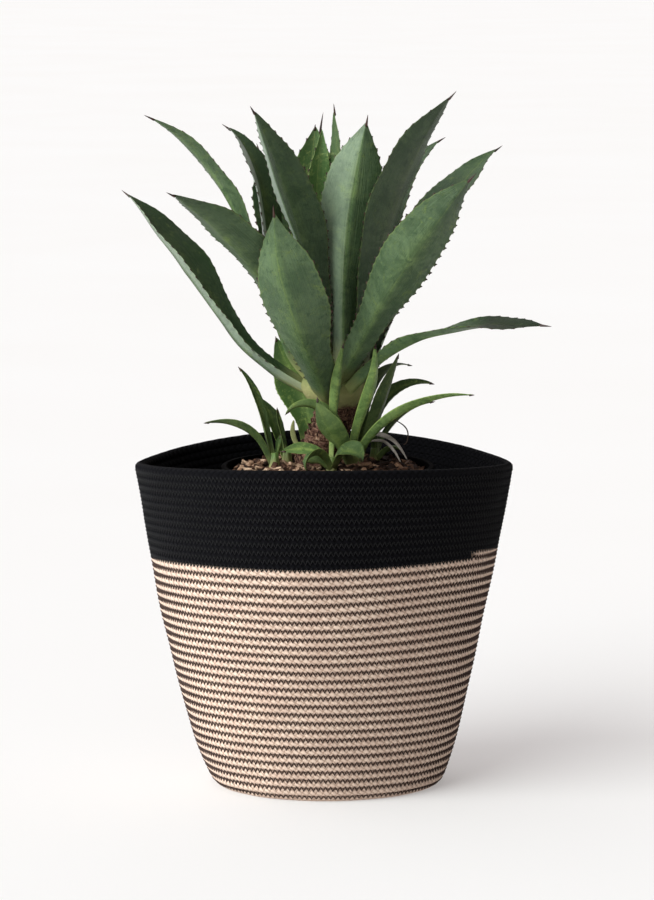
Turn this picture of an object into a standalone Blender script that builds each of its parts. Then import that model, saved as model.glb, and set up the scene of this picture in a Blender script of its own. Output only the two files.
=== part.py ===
"""Potted agave in a coiled rope basket.

Everything is built about the basket's centre: the origin is the middle of the basket's underside,
+Z is up, X runs along the basket's long way and -Y is its front.
"""
import math

import bmesh
import bpy
from mathutils import Vector

# ---------------------------------------------------------------- driving dimensions (metres, degrees)
BASKET_HEIGHT = 0.292          # at the two pinched corners, the middle of each side stands a little higher
RIM_HALF_LENGTH = 0.170
RIM_HALF_DEPTH = 0.140
BASE_HALF_LENGTH = 0.105
DEPTH_SHARE = 0.83             # half depth over half length, the same all the way up
PINCH_AT_RIM = 0.45            # 0 is a plain oval, more draws the two ends in to corners
RIM_RISE = 0.012
ROPE = 0.008                   # rope thickness, so also the wall's
ROW_DEPTH = 0.0009             # how deep the groove between two turns of rope is
COLOUR_CHANGE = 0.209          # height at which the black rope takes over
BODY_ROWS = 27
BAND_ROWS = 12
FOOT_LENGTH = 0.092            # half length of the flat the basket stands on
GAP = 0.0003                   # left between pieces that touch
PLAN_POINTS = 36

SAUCER_BASE = 0.064
SAUCER_RIM = 0.072
SAUCER_HEIGHT = 0.020
SAUCER_WALL = 0.002

POT_CENTRE_X = 0.003
POT_BASE = 0.060
POT_RIM = 0.093
POT_WALL = 0.0018
POT_TOP = 0.290
POT_LIP = 0.003
DRAIN_HOLE = 0.006

SOIL_TOP = 0.272
MULCH_MID = 0.292
MULCH_FALL = 0.010

STEM_FOOT_X = -0.007
STEM_FOOT_Z = 0.247
STEM_RADIUS = 0.0195
CROWN_X = 0.008
CROWN_Z = 0.360
CROWN_LEAN = -0.075            # how far the growing point drifts sideways per metre of height

# height, radius of the crown the leaves grow from
CROWN = [
    (0.335, 0.0195), (0.341, 0.0213), (0.347, 0.0244), (0.353, 0.0262), (0.358, 0.0272), (0.362, 0.0275),
    (0.366, 0.0267), (0.371, 0.0245), (0.376, 0.0220), (0.381, 0.0195), (0.386, 0.0167), (0.391, 0.0140),
    (0.396, 0.0113), (0.400, 0.0090), (0.404, 0.0062), (0.408, 0.0030),
]

# share of the length -> share of the half width
BROAD_OUTLINE = [
    (0.0, 0.42), (0.06, 0.43), (0.12, 0.45), (0.20, 0.50), (0.30, 0.58), (0.40, 0.75), (0.50, 0.93),
    (0.56, 0.985), (0.62, 1.0), (0.70, 0.95), (0.78, 0.86), (0.84, 0.71), (0.90, 0.52), (0.95, 0.29), (1.0, 0.0),
]
SMALL_OUTLINE = [
    (0.0, 0.50), (0.12, 0.60), (0.30, 0.78), (0.45, 0.93), (0.62, 1.0), (0.78, 0.84), (0.90, 0.50), (1.0, 0.0),
]

# name: heading, height on the crown, length, rise at base, middle and tip, turn of heading towards the tip,
# width, twist at base and tip, channel depth, bearing of the foot from the heading
ROSETTE = {
    "leaf_low_right_drooping": (335, 0.3578, 0.215, 60, 16, -6, 5, 0.034, -37, 32, 0.01, -35),
    "leaf_low_left": (175, 0.3623, 0.244, 38, 51, 28, -26, 0.062, -17, 7, 0.11, -12),
    "leaf_front_left": (251, 0.3581, 0.209, 37, 59, 83, -40, 0.062, 16, 9, 0.14, 9),
    "leaf_mid_left": (219, 0.3709, 0.251, 72, 46, 19, 5, 0.059, 15, 5, 0.19, 12),
    "leaf_front_right": (301, 0.3718, 0.257, 43, 50, 44, 37, 0.048, -40, -45, 0.27, -16),
    "leaf_mid_right": (32, 0.3602, 0.27, 64, 57, 25, 2, 0.06, 9, -2, 0.18, 8),
    "leaf_upper_left": (177, 0.3722, 0.283, 64, 66, 20, 21, 0.039, 11, 19, 0.02, 8),
    "leaf_back_right": (36, 0.3734, 0.24, 61, 76, 18, -3, 0.042, -7, 0, 0.07, -5),
    "leaf_back": (81, 0.3688, 0.235, 55, 62, 45, 0, 0.049, -3, 0, 0.19, -1),
    "leaf_upper_right": (327, 0.3697, 0.283, 87, 72, 42, 9, 0.056, 9, -15, 0.09, 10),
    "leaf_back_left": (123, 0.3722, 0.226, 56, 66, 57, 0, 0.05, -1, -2, 0.18, 0),
    "leaf_inner_left": (154, 0.3832, 0.241, 31, 86, 22, -2, 0.042, 24, -12, 0.24, 0),
    "leaf_inner_front_left": (225, 0.391, 0.252, 92, 68, 41, 10, 0.056, -4, -18, 0.11, 6),
    "leaf_inner_front": (298, 0.3848, 0.226, 98, 79, 75, 12, 0.061, 17, -18, 0.15, 20),
    "leaf_inner_back": (101, 0.3833, 0.216, 58, 83, 89, -1, 0.045, 12, 9, 0.22, 7),
    "leaf_inner_back_right": (54, 0.3863, 0.225, 70, 76, 66, 0, 0.047, -1, 0, 0.25, -1),
    "leaf_inner_right": (19, 0.398, 0.217, 82, 94, 94, 3, 0.035, 9, 3, 0.23, 2),
    "leaf_centre_spear": (147, 0.4081, 0.2, 76, 90, 99, 0, 0.02, -5, 2, 0.45, 0),
}

# where each offset's short crown stands
OFFSETS = {
    "front": (0.006, -0.044),
    "right": (0.023, -0.022),
    "back_right": (0.030, 0.006),
    "far_right": (0.045, 0.016),
    "left": (-0.045, -0.014),
    "back_left": (-0.034, 0.010),
    "back": (-0.014, 0.034),
}
OFFSET_CROWN = [(0.2723, 0.0058), (0.288, 0.0060), (0.295, 0.0062), (0.303, 0.0048), (0.310, 0.0025), (0.313, 0.0012)]

# offset, then the same numbers as for the rosette
OFFSET_LEAVES = {
    "back_offset_broad_leaf": ("back", 152, 0.3074, 0.101, 108, 61, 80, 0, 0.0238, -3, 0, 0.36, 0),
    "back_offset_low_leaf": ("back", 19, 0.2943, 0.085, 59, 50, 30, 0, 0.0162, -3, 0, 0.32, 2),
    "back_offset_tall_leaf": ("back", 73, 0.3028, 0.095, 67, 69, 60, 0, 0.0139, -2, 0, 0.35, -8),
    "right_offset_bent_leaf": ("right", 192, 0.3081, 0.081, 72, 37, -56, 2, 0.0139, -2, 4, 0.35, 14),
    "right_offset_front_leaf": ("right", 214, 0.2998, 0.067, 79, 51, 87, 3, 0.0179, 12, 3, 0.33, 17),
    "right_offset_tall_leaf": ("right", 311, 0.3094, 0.103, 75, 64, 105, -4, 0.0137, -1, 2, 0.35, -12),
    "right_offset_long_leaf": ("right", 342, 0.3013, 0.132, 62, 27, 0, -3, 0.018, -2, 0, 0.35, -8),
    "back_right_offset_upright_leaf": ("back_right", -18, 0.3012, 0.097, 72, 68, 73, -1, 0.0166, -15, -2, 0.34, -22),
    "back_right_offset_arched_leaf": ("back_right", 36, 0.3022, 0.109, 91, 60, -22, -8, 0.0175, 17, -20, 0.27, 23),
    "far_right_offset_thin_leaf": ("far_right", 50, 0.3005, 0.080, 52, 33, 2, -50, 0.006, 0, 0, 0.33, 25),
    "far_right_offset_long_leaf": ("far_right", 10, 0.3012, 0.098, 115, 50, -19, -2, 0.0139, 11, 0, 0.33, 11),
    "far_right_offset_low_leaf": ("far_right", 337, 0.2986, 0.028, 48, 5, -70, -4, 0.0109, -8, 0, 0.33, -11),
    "left_offset_arched_leaf": ("left", 183, 0.2967, 0.075, 87, 27, -11, 0, 0.0113, 0, 0, 0.28, 0),
    "left_offset_tall_leaf": ("left", 162, 0.3078, 0.079, 76, 70, 45, 0, 0.01, -3, 0, 0.35, -8),
    "left_offset_short_leaf": ("left", 55, 0.3052, 0.015, 75, 69, 71, -1, 0.0061, -3, 0, 0.31, -3),
    "back_left_offset_leaf": ("back_left", 152, 0.3001, 0.055, 81, 64, 44, 0, 0.0142, -15, 1, 0.31, -18),
    "back_left_offset_short_leaf": ("back_left", 129, 0.3095, 0.032, 73, 68, 81, 0, 0.0061, 4, 0, 0.34, 7),
    "front_offset_tall_leaf": ("front", 299, 0.313, 0.097, 81, 80, 64, 2, 0.0119, 0, 1, 0.35, -12),
    "front_offset_left_leaf": ("front", 183, 0.3036, 0.042, 36, 3, -9, 0, 0.0119, -2, 0, 0.35, -10),
    "front_offset_low_leaf": ("front", 190, 0.2985, 0.022, 27, -1, -24, 1, 0.0109, 0, 0, 0.34, -10),
    "front_offset_broad_leaf": ("front", 322, 0.3045, 0.037, 46, -4, -65, -3, 0.018, 0, 0, 0.35, -7),
    "front_offset_drooping_leaf": ("front", 230, 0.3002, 0.048, 48, -13, -158, -16, 0.0118, 5, 0, 0.34, 9),
}


# ---------------------------------------------------------------- scene helpers
def clear_scene():
    for obj in list(bpy.data.objects):
        bpy.data.objects.remove(obj, do_unlink=True)
    for mesh in list(bpy.data.meshes):
        bpy.data.meshes.remove(mesh)


def new_collection(name):
    coll = bpy.data.collections.new(name)
    bpy.context.scene.collection.children.link(coll)
    return coll


clear_scene()
PLANT = new_collection("Potted agave")
CUTTERS = new_collection("Cutters")


def material(name, rgb, roughness, metallic=0.0):
    mat = bpy.data.materials.new(name)
    mat.use_nodes = True
    bsdf = mat.node_tree.nodes["Principled BSDF"]
    bsdf.inputs["Base Color"].default_value = (rgb[0], rgb[1], rgb[2], 1.0)
    bsdf.inputs["Roughness"].default_value = roughness
    bsdf.inputs["Metallic"].default_value = metallic
    return mat


def finish(name, bm, colour, roughness, smooth=True, coll=None):
    """Turn the working mesh into a named object with its own material and outward normals."""
    bmesh.ops.recalc_face_normals(bm, faces=bm.faces[:])
    mesh = bpy.data.meshes.new(name)
    bm.to_mesh(mesh)
    bm.free()
    obj = bpy.data.objects.new(name, mesh)
    (coll or PLANT).objects.link(obj)
    mesh.materials.append(material(name, colour, roughness))
    for poly in mesh.polygons:
        poly.use_smooth = smooth
    return obj


def bridge(bm, ring_a, ring_b):
    n = len(ring_a)
    for i in range(n):
        j = (i + 1) % n
        bm.faces.new((ring_a[i], ring_a[j], ring_b[j], ring_b[i]))


def fan(bm, ring, centre):
    tip = bm.verts.new(centre)
    n = len(ring)
    for i in range(n):
        bm.faces.new((ring[i], ring[(i + 1) % n], tip))


def loft(rings, start=None, end=None):
    """Close a stack of equal rings into one body, each end with a fan to a point."""
    bm = bmesh.new()
    made = [[bm.verts.new(p) for p in ring] for ring in rings]
    for a, b in zip(made, made[1:]):
        bridge(bm, a, b)
    for ring, pts, tip in ((made[0], rings[0], start), (made[-1], rings[-1], end)):
        centre = tip if tip is not None else sum((Vector(p) for p in pts), Vector()) / len(pts)
        fan(bm, ring, centre)
    return bm


def loft_closed(rings):
    """Join a stack of rings whose last meets the first again: a tube-like wall."""
    bm = bmesh.new()
    made = [[bm.verts.new(p) for p in ring] for ring in rings]
    for a, b in zip(made, made[1:] + made[:1]):
        bridge(bm, a, b)
    return bm


# ---------------------------------------------------------------- basket
def wall_length(z):
    """Half length of the basket at a height, outside."""
    t = max(0.0, min(1.0, z / BASKET_HEIGHT))
    grow = BASE_HALF_LENGTH + (RIM_HALF_LENGTH - BASE_HALF_LENGTH) * t ** 0.8
    foot = min(1.0, z / 0.010)
    return FOOT_LENGTH + (grow - FOOT_LENGTH) * math.sqrt(1.0 - (1.0 - foot) ** 2)


def plan_ring(z, offset, points=PLAN_POINTS):
    """One level of the basket wall, offset inwards; the ends pinch and the sides rise towards the rim."""
    share = max(0.0, min(1.0, z / BASKET_HEIGHT))
    half = wall_length(z) - offset
    depth = wall_length(z) * (DEPTH_SHARE - 0.0065 * share) - offset
    pinch = PINCH_AT_RIM * share ** 1.2
    rise = RIM_RISE * share ** 1.3
    ring = []
    for i in range(points):
        a = math.tau * i / points
        s = math.sin(a)
        y = depth * s * abs(s) ** pinch
        ring.append((half * math.cos(a), y, z + rise * s * s))
    return ring


def rope_rows(low, high, rows):
    """Outside profile from low to high: a shallow groove between rows, a crest on each."""
    step = (high - low) / rows
    levels = []
    for i in range(rows):
        levels.append((low + step * i, ROW_DEPTH))
        levels.append((low + step * (i + 0.5), 0.0))
    levels.append((high, ROW_DEPTH))
    return levels


def basket_body():
    outside = rope_rows(0.0, COLOUR_CHANGE, BODY_ROWS)
    rings = [plan_ring(z, d if z > 0.0 else 0.0) for z, d in outside]
    inside = [COLOUR_CHANGE, 0.170, 0.130, 0.090, 0.055, 0.030, 0.016]
    rings += [plan_ring(z, ROPE) for z in inside]
    floor = plan_ring(0.010, ROPE * 2.0)
    rings.append([(x, y, ROPE) for x, y, z in floor])
    bm = loft(rings, start=(0.0, 0.0, 0.0), end=(0.0, 0.0, ROPE))
    return finish("rope_basket_body", bm, (0.62, 0.50, 0.42), 0.9)


def basket_band():
    low = COLOUR_CHANGE + GAP
    outside = rope_rows(low, BASKET_HEIGHT - 0.0035, BAND_ROWS)
    rings = [plan_ring(z, d) for z, d in outside]
    rings.append([(x, y, z + 0.0025) for x, y, z in plan_ring(BASKET_HEIGHT - 0.0035, ROPE * 0.35)])
    rings.append([(x, y, z + 0.0025) for x, y, z in plan_ring(BASKET_HEIGHT - 0.0035, ROPE * 0.65)])
    for z in (BASKET_HEIGHT - 0.0035, 0.270, 0.250, 0.230, low):
        rings.append(plan_ring(z, ROPE))
    bm = loft_closed(rings)
    return finish("rope_basket_band", bm, (0.02, 0.02, 0.022), 0.9)


# ---------------------------------------------------------------- turned pieces
def circle(r, z, points, cx=0.0, cy=0.0):
    return [(cx + r * math.cos(math.tau * i / points), cy + r * math.sin(math.tau * i / points), z)
            for i in range(points)]


def turned(profile, points, cx=0.0, cy=0.0):
    """A solid of revolution from (radius, height) pairs, closed on its axis at both ends."""
    rings = [circle(r, z, points, cx, cy) for r, z in profile]
    return loft(rings, start=(cx, cy, profile[0][1]), end=(cx, cy, profile[-1][1]))


def cylinder_cutter(name, r, z0, z1, cx, cy, points):
    bm = turned([(r, z0), (r, z1)], points, cx, cy)
    obj = finish(name, bm, (1.0, 0.2, 0.2), 0.5, smooth=False, coll=CUTTERS)
    obj.hide_render = True
    obj.display_type = "WIRE"
    return obj


def cut(obj, cutter):
    mod = obj.modifiers.new("Cut " + cutter.name, "BOOLEAN")
    mod.operation = "DIFFERENCE"
    mod.solver = "EXACT"
    mod.object = cutter


def drip_saucer():
    z0 = ROPE + GAP
    z1 = z0 + SAUCER_HEIGHT
    w = SAUCER_WALL
    profile = [
        (SAUCER_BASE, z0), (SAUCER_BASE + 0.002, z0 + 0.002), (SAUCER_RIM, z1 - 0.002), (SAUCER_RIM + 0.001, z1),
        (SAUCER_RIM - w, z1), (SAUCER_RIM - w, z1 - 0.002), (SAUCER_BASE + 0.001, z0 + w + 0.001),
        (SAUCER_BASE - 0.001, z0 + w),
    ]
    return finish("drip_saucer", turned(profile, 40, POT_CENTRE_X), (0.03, 0.03, 0.03), 0.5)


def pot_radius(z):
    z0 = ROPE + GAP + SAUCER_WALL + GAP
    return POT_BASE + (POT_RIM - POT_BASE) * (z - z0) / (POT_TOP - z0)


def nursery_pot():
    z0 = ROPE + GAP + SAUCER_WALL + GAP
    w = POT_WALL
    profile = [
        (POT_BASE - 0.003, z0), (pot_radius(z0 + 0.003), z0 + 0.003), (pot_radius(0.150), 0.150),
        (pot_radius(0.276), 0.276), (pot_radius(0.276) + POT_LIP, 0.277), (POT_RIM + POT_LIP, POT_TOP - 0.001),
        (POT_RIM + POT_LIP - 0.001, POT_TOP), (POT_RIM - w + 0.0005, POT_TOP), (POT_RIM - w, POT_TOP - 0.001),
        (pot_radius(0.150) - w, 0.150), (pot_radius(z0 + w + 0.003) - w, z0 + w + 0.003), (POT_BASE - 0.005, z0 + w),
    ]
    pot = finish("nursery_pot", turned(profile, 40, POT_CENTRE_X), (0.012, 0.012, 0.013), 0.4)
    for i in range(6):
        a = math.tau * (i + 0.5) / 6
        x = POT_CENTRE_X + 0.036 * math.cos(a)
        y = 0.036 * math.sin(a)
        cut(pot, cylinder_cutter("drain_hole_%d" % (i + 1), DRAIN_HOLE, z0 - 0.002, z0 + 0.006, x, y, 12))
    return pot


def potting_soil():
    z0 = ROPE + GAP + SAUCER_WALL + GAP + POT_WALL + GAP
    g = POT_WALL + GAP + 0.0004
    profile = [(POT_BASE - 0.006, z0), (pot_radius(z0 + 0.004) - g, z0 + 0.004), (pot_radius(0.150) - g, 0.150),
               (pot_radius(SOIL_TOP) - g, SOIL_TOP)]
    soil = finish("potting_soil", turned(profile, 40, POT_CENTRE_X), (0.05, 0.035, 0.025), 1.0, smooth=False)
    hole = (STEM_RADIUS + 0.0006) / math.cos(math.pi / 20)
    cut(soil, cylinder_cutter("stem_socket", hole, STEM_FOOT_Z - GAP, 0.300, STEM_FOOT_X, 0.0, 20))
    return soil


def mulch_height(x, y):
    r = math.hypot(x - POT_CENTRE_X, y)
    lumps = 0.0009 * math.sin(210.0 * x + 1.0) * math.sin(190.0 * y) + 0.0006 * math.sin(330.0 * (x + y))
    return MULCH_MID - MULCH_FALL * (r / 0.09) ** 4 + lumps - 0.0005


def bark_mulch():
    points = 36
    z0 = SOIL_TOP + GAP
    outer = pot_radius(z0) - POT_WALL - GAP - 0.0005
    rings = [circle(r, z0, points, POT_CENTRE_X) for r in (0.040, outer)]
    for share in (1.0, 0.985, 0.90, 0.80, 0.68, 0.54, 0.38):
        r = share * outer
        ring = circle(r, 0.0, points, POT_CENTRE_X)
        rings.append([(x, y, mulch_height(x, y) - (0.0035 if share == 1.0 else 0.0)) for x, y, z in ring])
    bm = loft(rings, start=(POT_CENTRE_X, 0.0, z0), end=(POT_CENTRE_X, 0.0, mulch_height(POT_CENTRE_X, 0.0)))
    mulch = finish("bark_mulch", bm, (0.36, 0.24, 0.16), 1.0, smooth=False)
    hole = (STEM_RADIUS + 0.0006) / math.cos(math.pi / 20)
    cut(mulch, cylinder_cutter("stem_hole", hole, 0.265, 0.310, STEM_FOOT_X, 0.0, 20))
    for key, (x, y) in OFFSETS.items():
        cut(mulch, cylinder_cutter("offset_hole_" + key, 0.0067, 0.265, 0.310, x, y, 12))
    return mulch


# ---------------------------------------------------------------- stem and offset crowns
def stem_axis(z):
    """Upright in the pot, leaning over to the right above the mulch, then nearly upright under the leaves."""
    if z <= 0.293:
        return STEM_FOOT_X
    if z >= 0.338:
        return CROWN_X + (z - CROWN_Z) * CROWN_LEAN
    t = (z - 0.293) / (0.338 - 0.293)
    ease = t * t * (3.0 - 2.0 * t)
    top = CROWN_X + (0.338 - CROWN_Z) * CROWN_LEAN
    return STEM_FOOT_X + (top - STEM_FOOT_X) * ease


def stem():
    points = 20
    levels = [(STEM_FOOT_Z, STEM_RADIUS * 0.8), (STEM_FOOT_Z + 0.004, STEM_RADIUS), (0.286, STEM_RADIUS)]
    scars = 9
    for i in range(scars):
        z = 0.292 + (0.333 - 0.292) * i / (scars - 1)
        levels.append((z, STEM_RADIUS - (0.0010 if i % 2 else 0.0)))
    levels += CROWN
    rings = []
    for z, r in levels:
        rings.append([(x + stem_axis(z), y, zz) for x, y, zz in circle(r, z, points)])
    top = (stem_axis(0.409), 0.0, 0.409)
    bm = loft(rings, start=(STEM_FOOT_X, 0.0, STEM_FOOT_Z), end=top)
    return finish("stem", bm, (0.45, 0.42, 0.22), 0.8)


def offset_crown(key):
    x, y = OFFSETS[key]
    bm = turned([(r, z) for z, r in OFFSET_CROWN], 12, x, y)
    return finish("offset_crown_" + key, bm, (0.36, 0.48, 0.16), 0.6)


# ---------------------------------------------------------------- leaves
def crown_radius(z, table):
    z = max(table[0][0], min(table[-1][0], z))
    for (z0, r0), (z1, r1) in zip(table, table[1:]):
        if z <= z1:
            return r0 + (r1 - r0) * (z - z0) / (z1 - z0)
    return table[-1][1]


def parabola(base, middle, tip, s):
    return base * (1 - s) * (1 - 2 * s) + middle * 4 * s * (1 - s) + tip * s * (2 * s - 1)


def leaf(name, numbers, foot_centre, table, gap, outline, thickness, colour):
    """A leaf swept along its own curve: flat keel-backed channel, thin edges, one tip."""
    heading, z, length, rise0, rise1, rise2, turn, width, twist0, twist1, channel, bearing = numbers
    steps = 60

    def frame(s):
        e = math.radians(parabola(rise0, rise1, rise2, s))
        h = math.radians(heading + turn * s * s)
        along = Vector((math.cos(h) * math.cos(e), math.sin(h) * math.cos(e), math.sin(e)))
        inner = Vector((-math.cos(h) * math.sin(e), -math.sin(h) * math.sin(e), math.cos(e)))
        side = Vector((-math.sin(h), math.cos(h), 0.0))
        t = math.radians(twist0 + (twist1 - twist0) * s)
        return along, side * math.cos(t) + inner * math.sin(t), inner * math.cos(t) - side * math.sin(t)

    b = math.radians(heading + bearing)
    r = crown_radius(z, table) + gap
    x, y = foot_centre
    spine = [Vector((x + r * math.cos(b), y + r * math.sin(b), z))]
    for i in range(steps):
        step = frame((i + 0.5) / steps)[0]
        spine.append(spine[-1] + step * (length / steps))
    across = (-1.0, -0.72, -0.40, 0.0, 0.40, 0.72, 1.0)
    if len(outline) < 10:
        across = (-1.0, -0.5, 0.0, 0.5, 1.0)
    rings = []
    for s, share in outline[:-1]:
        along, side, inner = frame(s)
        k = s * steps
        low = int(min(k, steps - 1))
        p = spine[low].lerp(spine[low + 1], k - low)
        half = share * width / 2.0
        fold = channel * (1.0 - 0.35 * s)
        deep = thickness * (1.0 - s) ** 0.75
        top = [p + side * (half * t) + inner * (half * fold * t * t) for t in across]
        under = [p + side * (half * t) + inner * (half * fold * t * t - deep * (1 - t * t) - 0.0004)
                 for t in reversed(across)]
        rings.append(top + under)
    bm = loft(rings, end=spine[-1])
    return finish(name, bm, colour, 0.55)


def build():
    basket_body()
    basket_band()
    drip_saucer()
    nursery_pot()
    potting_soil()
    bark_mulch()
    stem()
    green = (0.20, 0.34, 0.20)
    fresh = (0.28, 0.45, 0.16)
    for name, numbers in ROSETTE.items():
        foot = (CROWN_X + (numbers[1] - CROWN_Z) * CROWN_LEAN, 0.0)
        leaf(name, numbers, foot, CROWN, 0.0006, BROAD_OUTLINE, 0.0080 if numbers[7] > 0.035 else 0.0050,
             fresh if name == "leaf_centre_spear" else green)
    for key in OFFSETS:
        offset_crown(key)
    for name, row in OFFSET_LEAVES.items():
        leaf(name, row[1:], OFFSETS[row[0]], OFFSET_CROWN, 0.0005, SMALL_OUTLINE, 0.0032, fresh)


build()
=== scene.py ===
# %% [markdown]
# # A potted agave in a rope basket
#
# This lesson dresses a finished CAD model so that it looks like the real thing: an old agave with its
# offsets, in a black grower's pot, inside a coiled rope basket. The CAD model is loaded first and never
# moved. It is the fixed frame that every detailed piece is built around.

# %% Load the frame
import math
import random

import bmesh
import bpy
import numpy as np
from mathutils import Matrix, Vector, noise


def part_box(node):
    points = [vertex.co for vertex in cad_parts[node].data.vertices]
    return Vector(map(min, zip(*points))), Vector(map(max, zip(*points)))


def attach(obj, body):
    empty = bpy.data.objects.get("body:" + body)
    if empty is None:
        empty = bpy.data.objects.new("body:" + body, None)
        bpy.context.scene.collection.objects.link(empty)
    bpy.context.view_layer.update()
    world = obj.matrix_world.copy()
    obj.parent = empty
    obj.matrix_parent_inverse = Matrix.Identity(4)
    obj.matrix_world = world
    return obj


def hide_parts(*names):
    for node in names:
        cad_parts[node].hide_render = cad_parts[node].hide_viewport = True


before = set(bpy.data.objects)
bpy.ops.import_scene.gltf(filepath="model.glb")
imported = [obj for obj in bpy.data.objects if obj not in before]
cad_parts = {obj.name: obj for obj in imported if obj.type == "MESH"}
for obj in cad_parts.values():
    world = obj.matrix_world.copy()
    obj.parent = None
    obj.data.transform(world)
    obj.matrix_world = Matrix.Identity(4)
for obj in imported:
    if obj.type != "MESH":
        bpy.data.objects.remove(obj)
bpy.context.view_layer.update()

# %% [markdown]
# ## Camera
#
# The object is looked at from the front and a little above, from far away with a long lens, which keeps
# the basket's sides from spreading. The camera is turned towards the middle of the whole object.

# %% Camera
CAMERA_PLACE = Vector((0.00225, -3.44, 0.78))
CAMERA_AIM = Vector((0.00225, 0.0, 0.3035))

camera = bpy.data.objects.new("camera", bpy.data.cameras.new("camera"))
bpy.context.scene.collection.objects.link(camera)
camera.location = CAMERA_PLACE
camera.rotation_euler = (CAMERA_AIM - CAMERA_PLACE).to_track_quat("-Z", "Y").to_euler()
camera.data.lens = 154.5
camera.data.clip_end = 60.0
bpy.context.scene.camera = camera
print("camera lens, mm:", camera.data.lens)

# %% [markdown]
# ## Floor and light
#
# A plain white sweep would hide the object from behind, so the floor is one very wide disc. The key light
# comes from the left and a little in front. It is a sun with a wide disc, because that lights the whole
# floor evenly and still draws a soft shadow to the right. A second, weaker light from the side reaches
# only the basket. The world fills in, brighter on the left than on the right, as in a
# room with one big window.

# %% Floor and suns
def deselect():
    bpy.ops.object.select_all(action="DESELECT")


def sun(name, place, energy, spread, colour):
    """A sun that shines from a place towards the origin; spread is the size of its disc in degrees."""
    bpy.ops.object.light_add(type="SUN", location=place)
    light = bpy.context.object
    light.name = name
    light.rotation_euler = (-Vector(place)).to_track_quat("-Z", "Y").to_euler()
    light.data.energy, light.data.angle, light.data.color = energy, math.radians(spread), colour
    return light


deselect()
bpy.ops.mesh.primitive_circle_add(vertices=96, radius=300.0, fill_type="NGON", location=(0.0, 0.0, 0.0))
floor = bpy.context.object
floor.name = "floor"
sun("key_light", (-2.0, -1.75, 1.7), 3.0, 54, (0.955, 1.0, 0.985))
side_light = sun("side_light", (-2.0, -0.1, 0.7), 2.15, 30, (0.95, 0.98, 1.0))
print("lights:", [light.name for light in bpy.data.lights])

# %% [markdown]
# ## The room
#
# The sky stands for the room. A direction's dot product with the way to the window says how much of the
# window it sees, and that sets both its strength and its tint, from a warm dim side to a cool bright one.

# %% The room
TO_WINDOW = (-0.94, 0.34, 0.0)
DIM, BRIGHT = 0.08, 1.05
DIM_TINT, BRIGHT_TINT = (1.0, 0.85, 0.80, 1.0), (1.0, 0.965, 0.98, 1.0)

bpy.context.scene.view_settings.view_transform = "Standard"
world = bpy.data.worlds.new("studio")
bpy.context.scene.world = world
world.use_nodes = True
sky = world.node_tree
backdrop = sky.nodes["Background"]
direction = sky.nodes.new("ShaderNodeVectorMath")
direction.operation = "DOT_PRODUCT"
direction.inputs[1].default_value = TO_WINDOW
sky.links.new(sky.nodes.new("ShaderNodeTexCoord").outputs["Generated"], direction.inputs[0])
window = sky.nodes.new("ShaderNodeMapRange")
sky.links.new(direction.outputs["Value"], window.inputs["Value"])
for socket, value in (("From Min", -0.9), ("From Max", 0.9), ("To Min", DIM), ("To Max", BRIGHT)):
    window.inputs[socket].default_value = value
sky.links.new(window.outputs[0], backdrop.inputs["Strength"])
tint = sky.nodes.new("ShaderNodeMix")
tint.data_type = "RGBA"
tint.inputs[6].default_value, tint.inputs[7].default_value = DIM_TINT, BRIGHT_TINT
sky.links.new(window.outputs[0], tint.inputs[0])
sky.links.new(tint.outputs[2], backdrop.inputs["Color"])
print("room nodes:", len(sky.nodes))

# %% [markdown]
# ## A short way to build a finish
#
# Every finish below is a small tree of nodes in front of one Principled shader. Adding nodes one by one
# takes many lines, so this helper keeps the usual steps to one line each: noise, a colour ramp, a mix, a
# sum and a bump. Numbers that are the same all over stay on the shader's own sockets.

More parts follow.
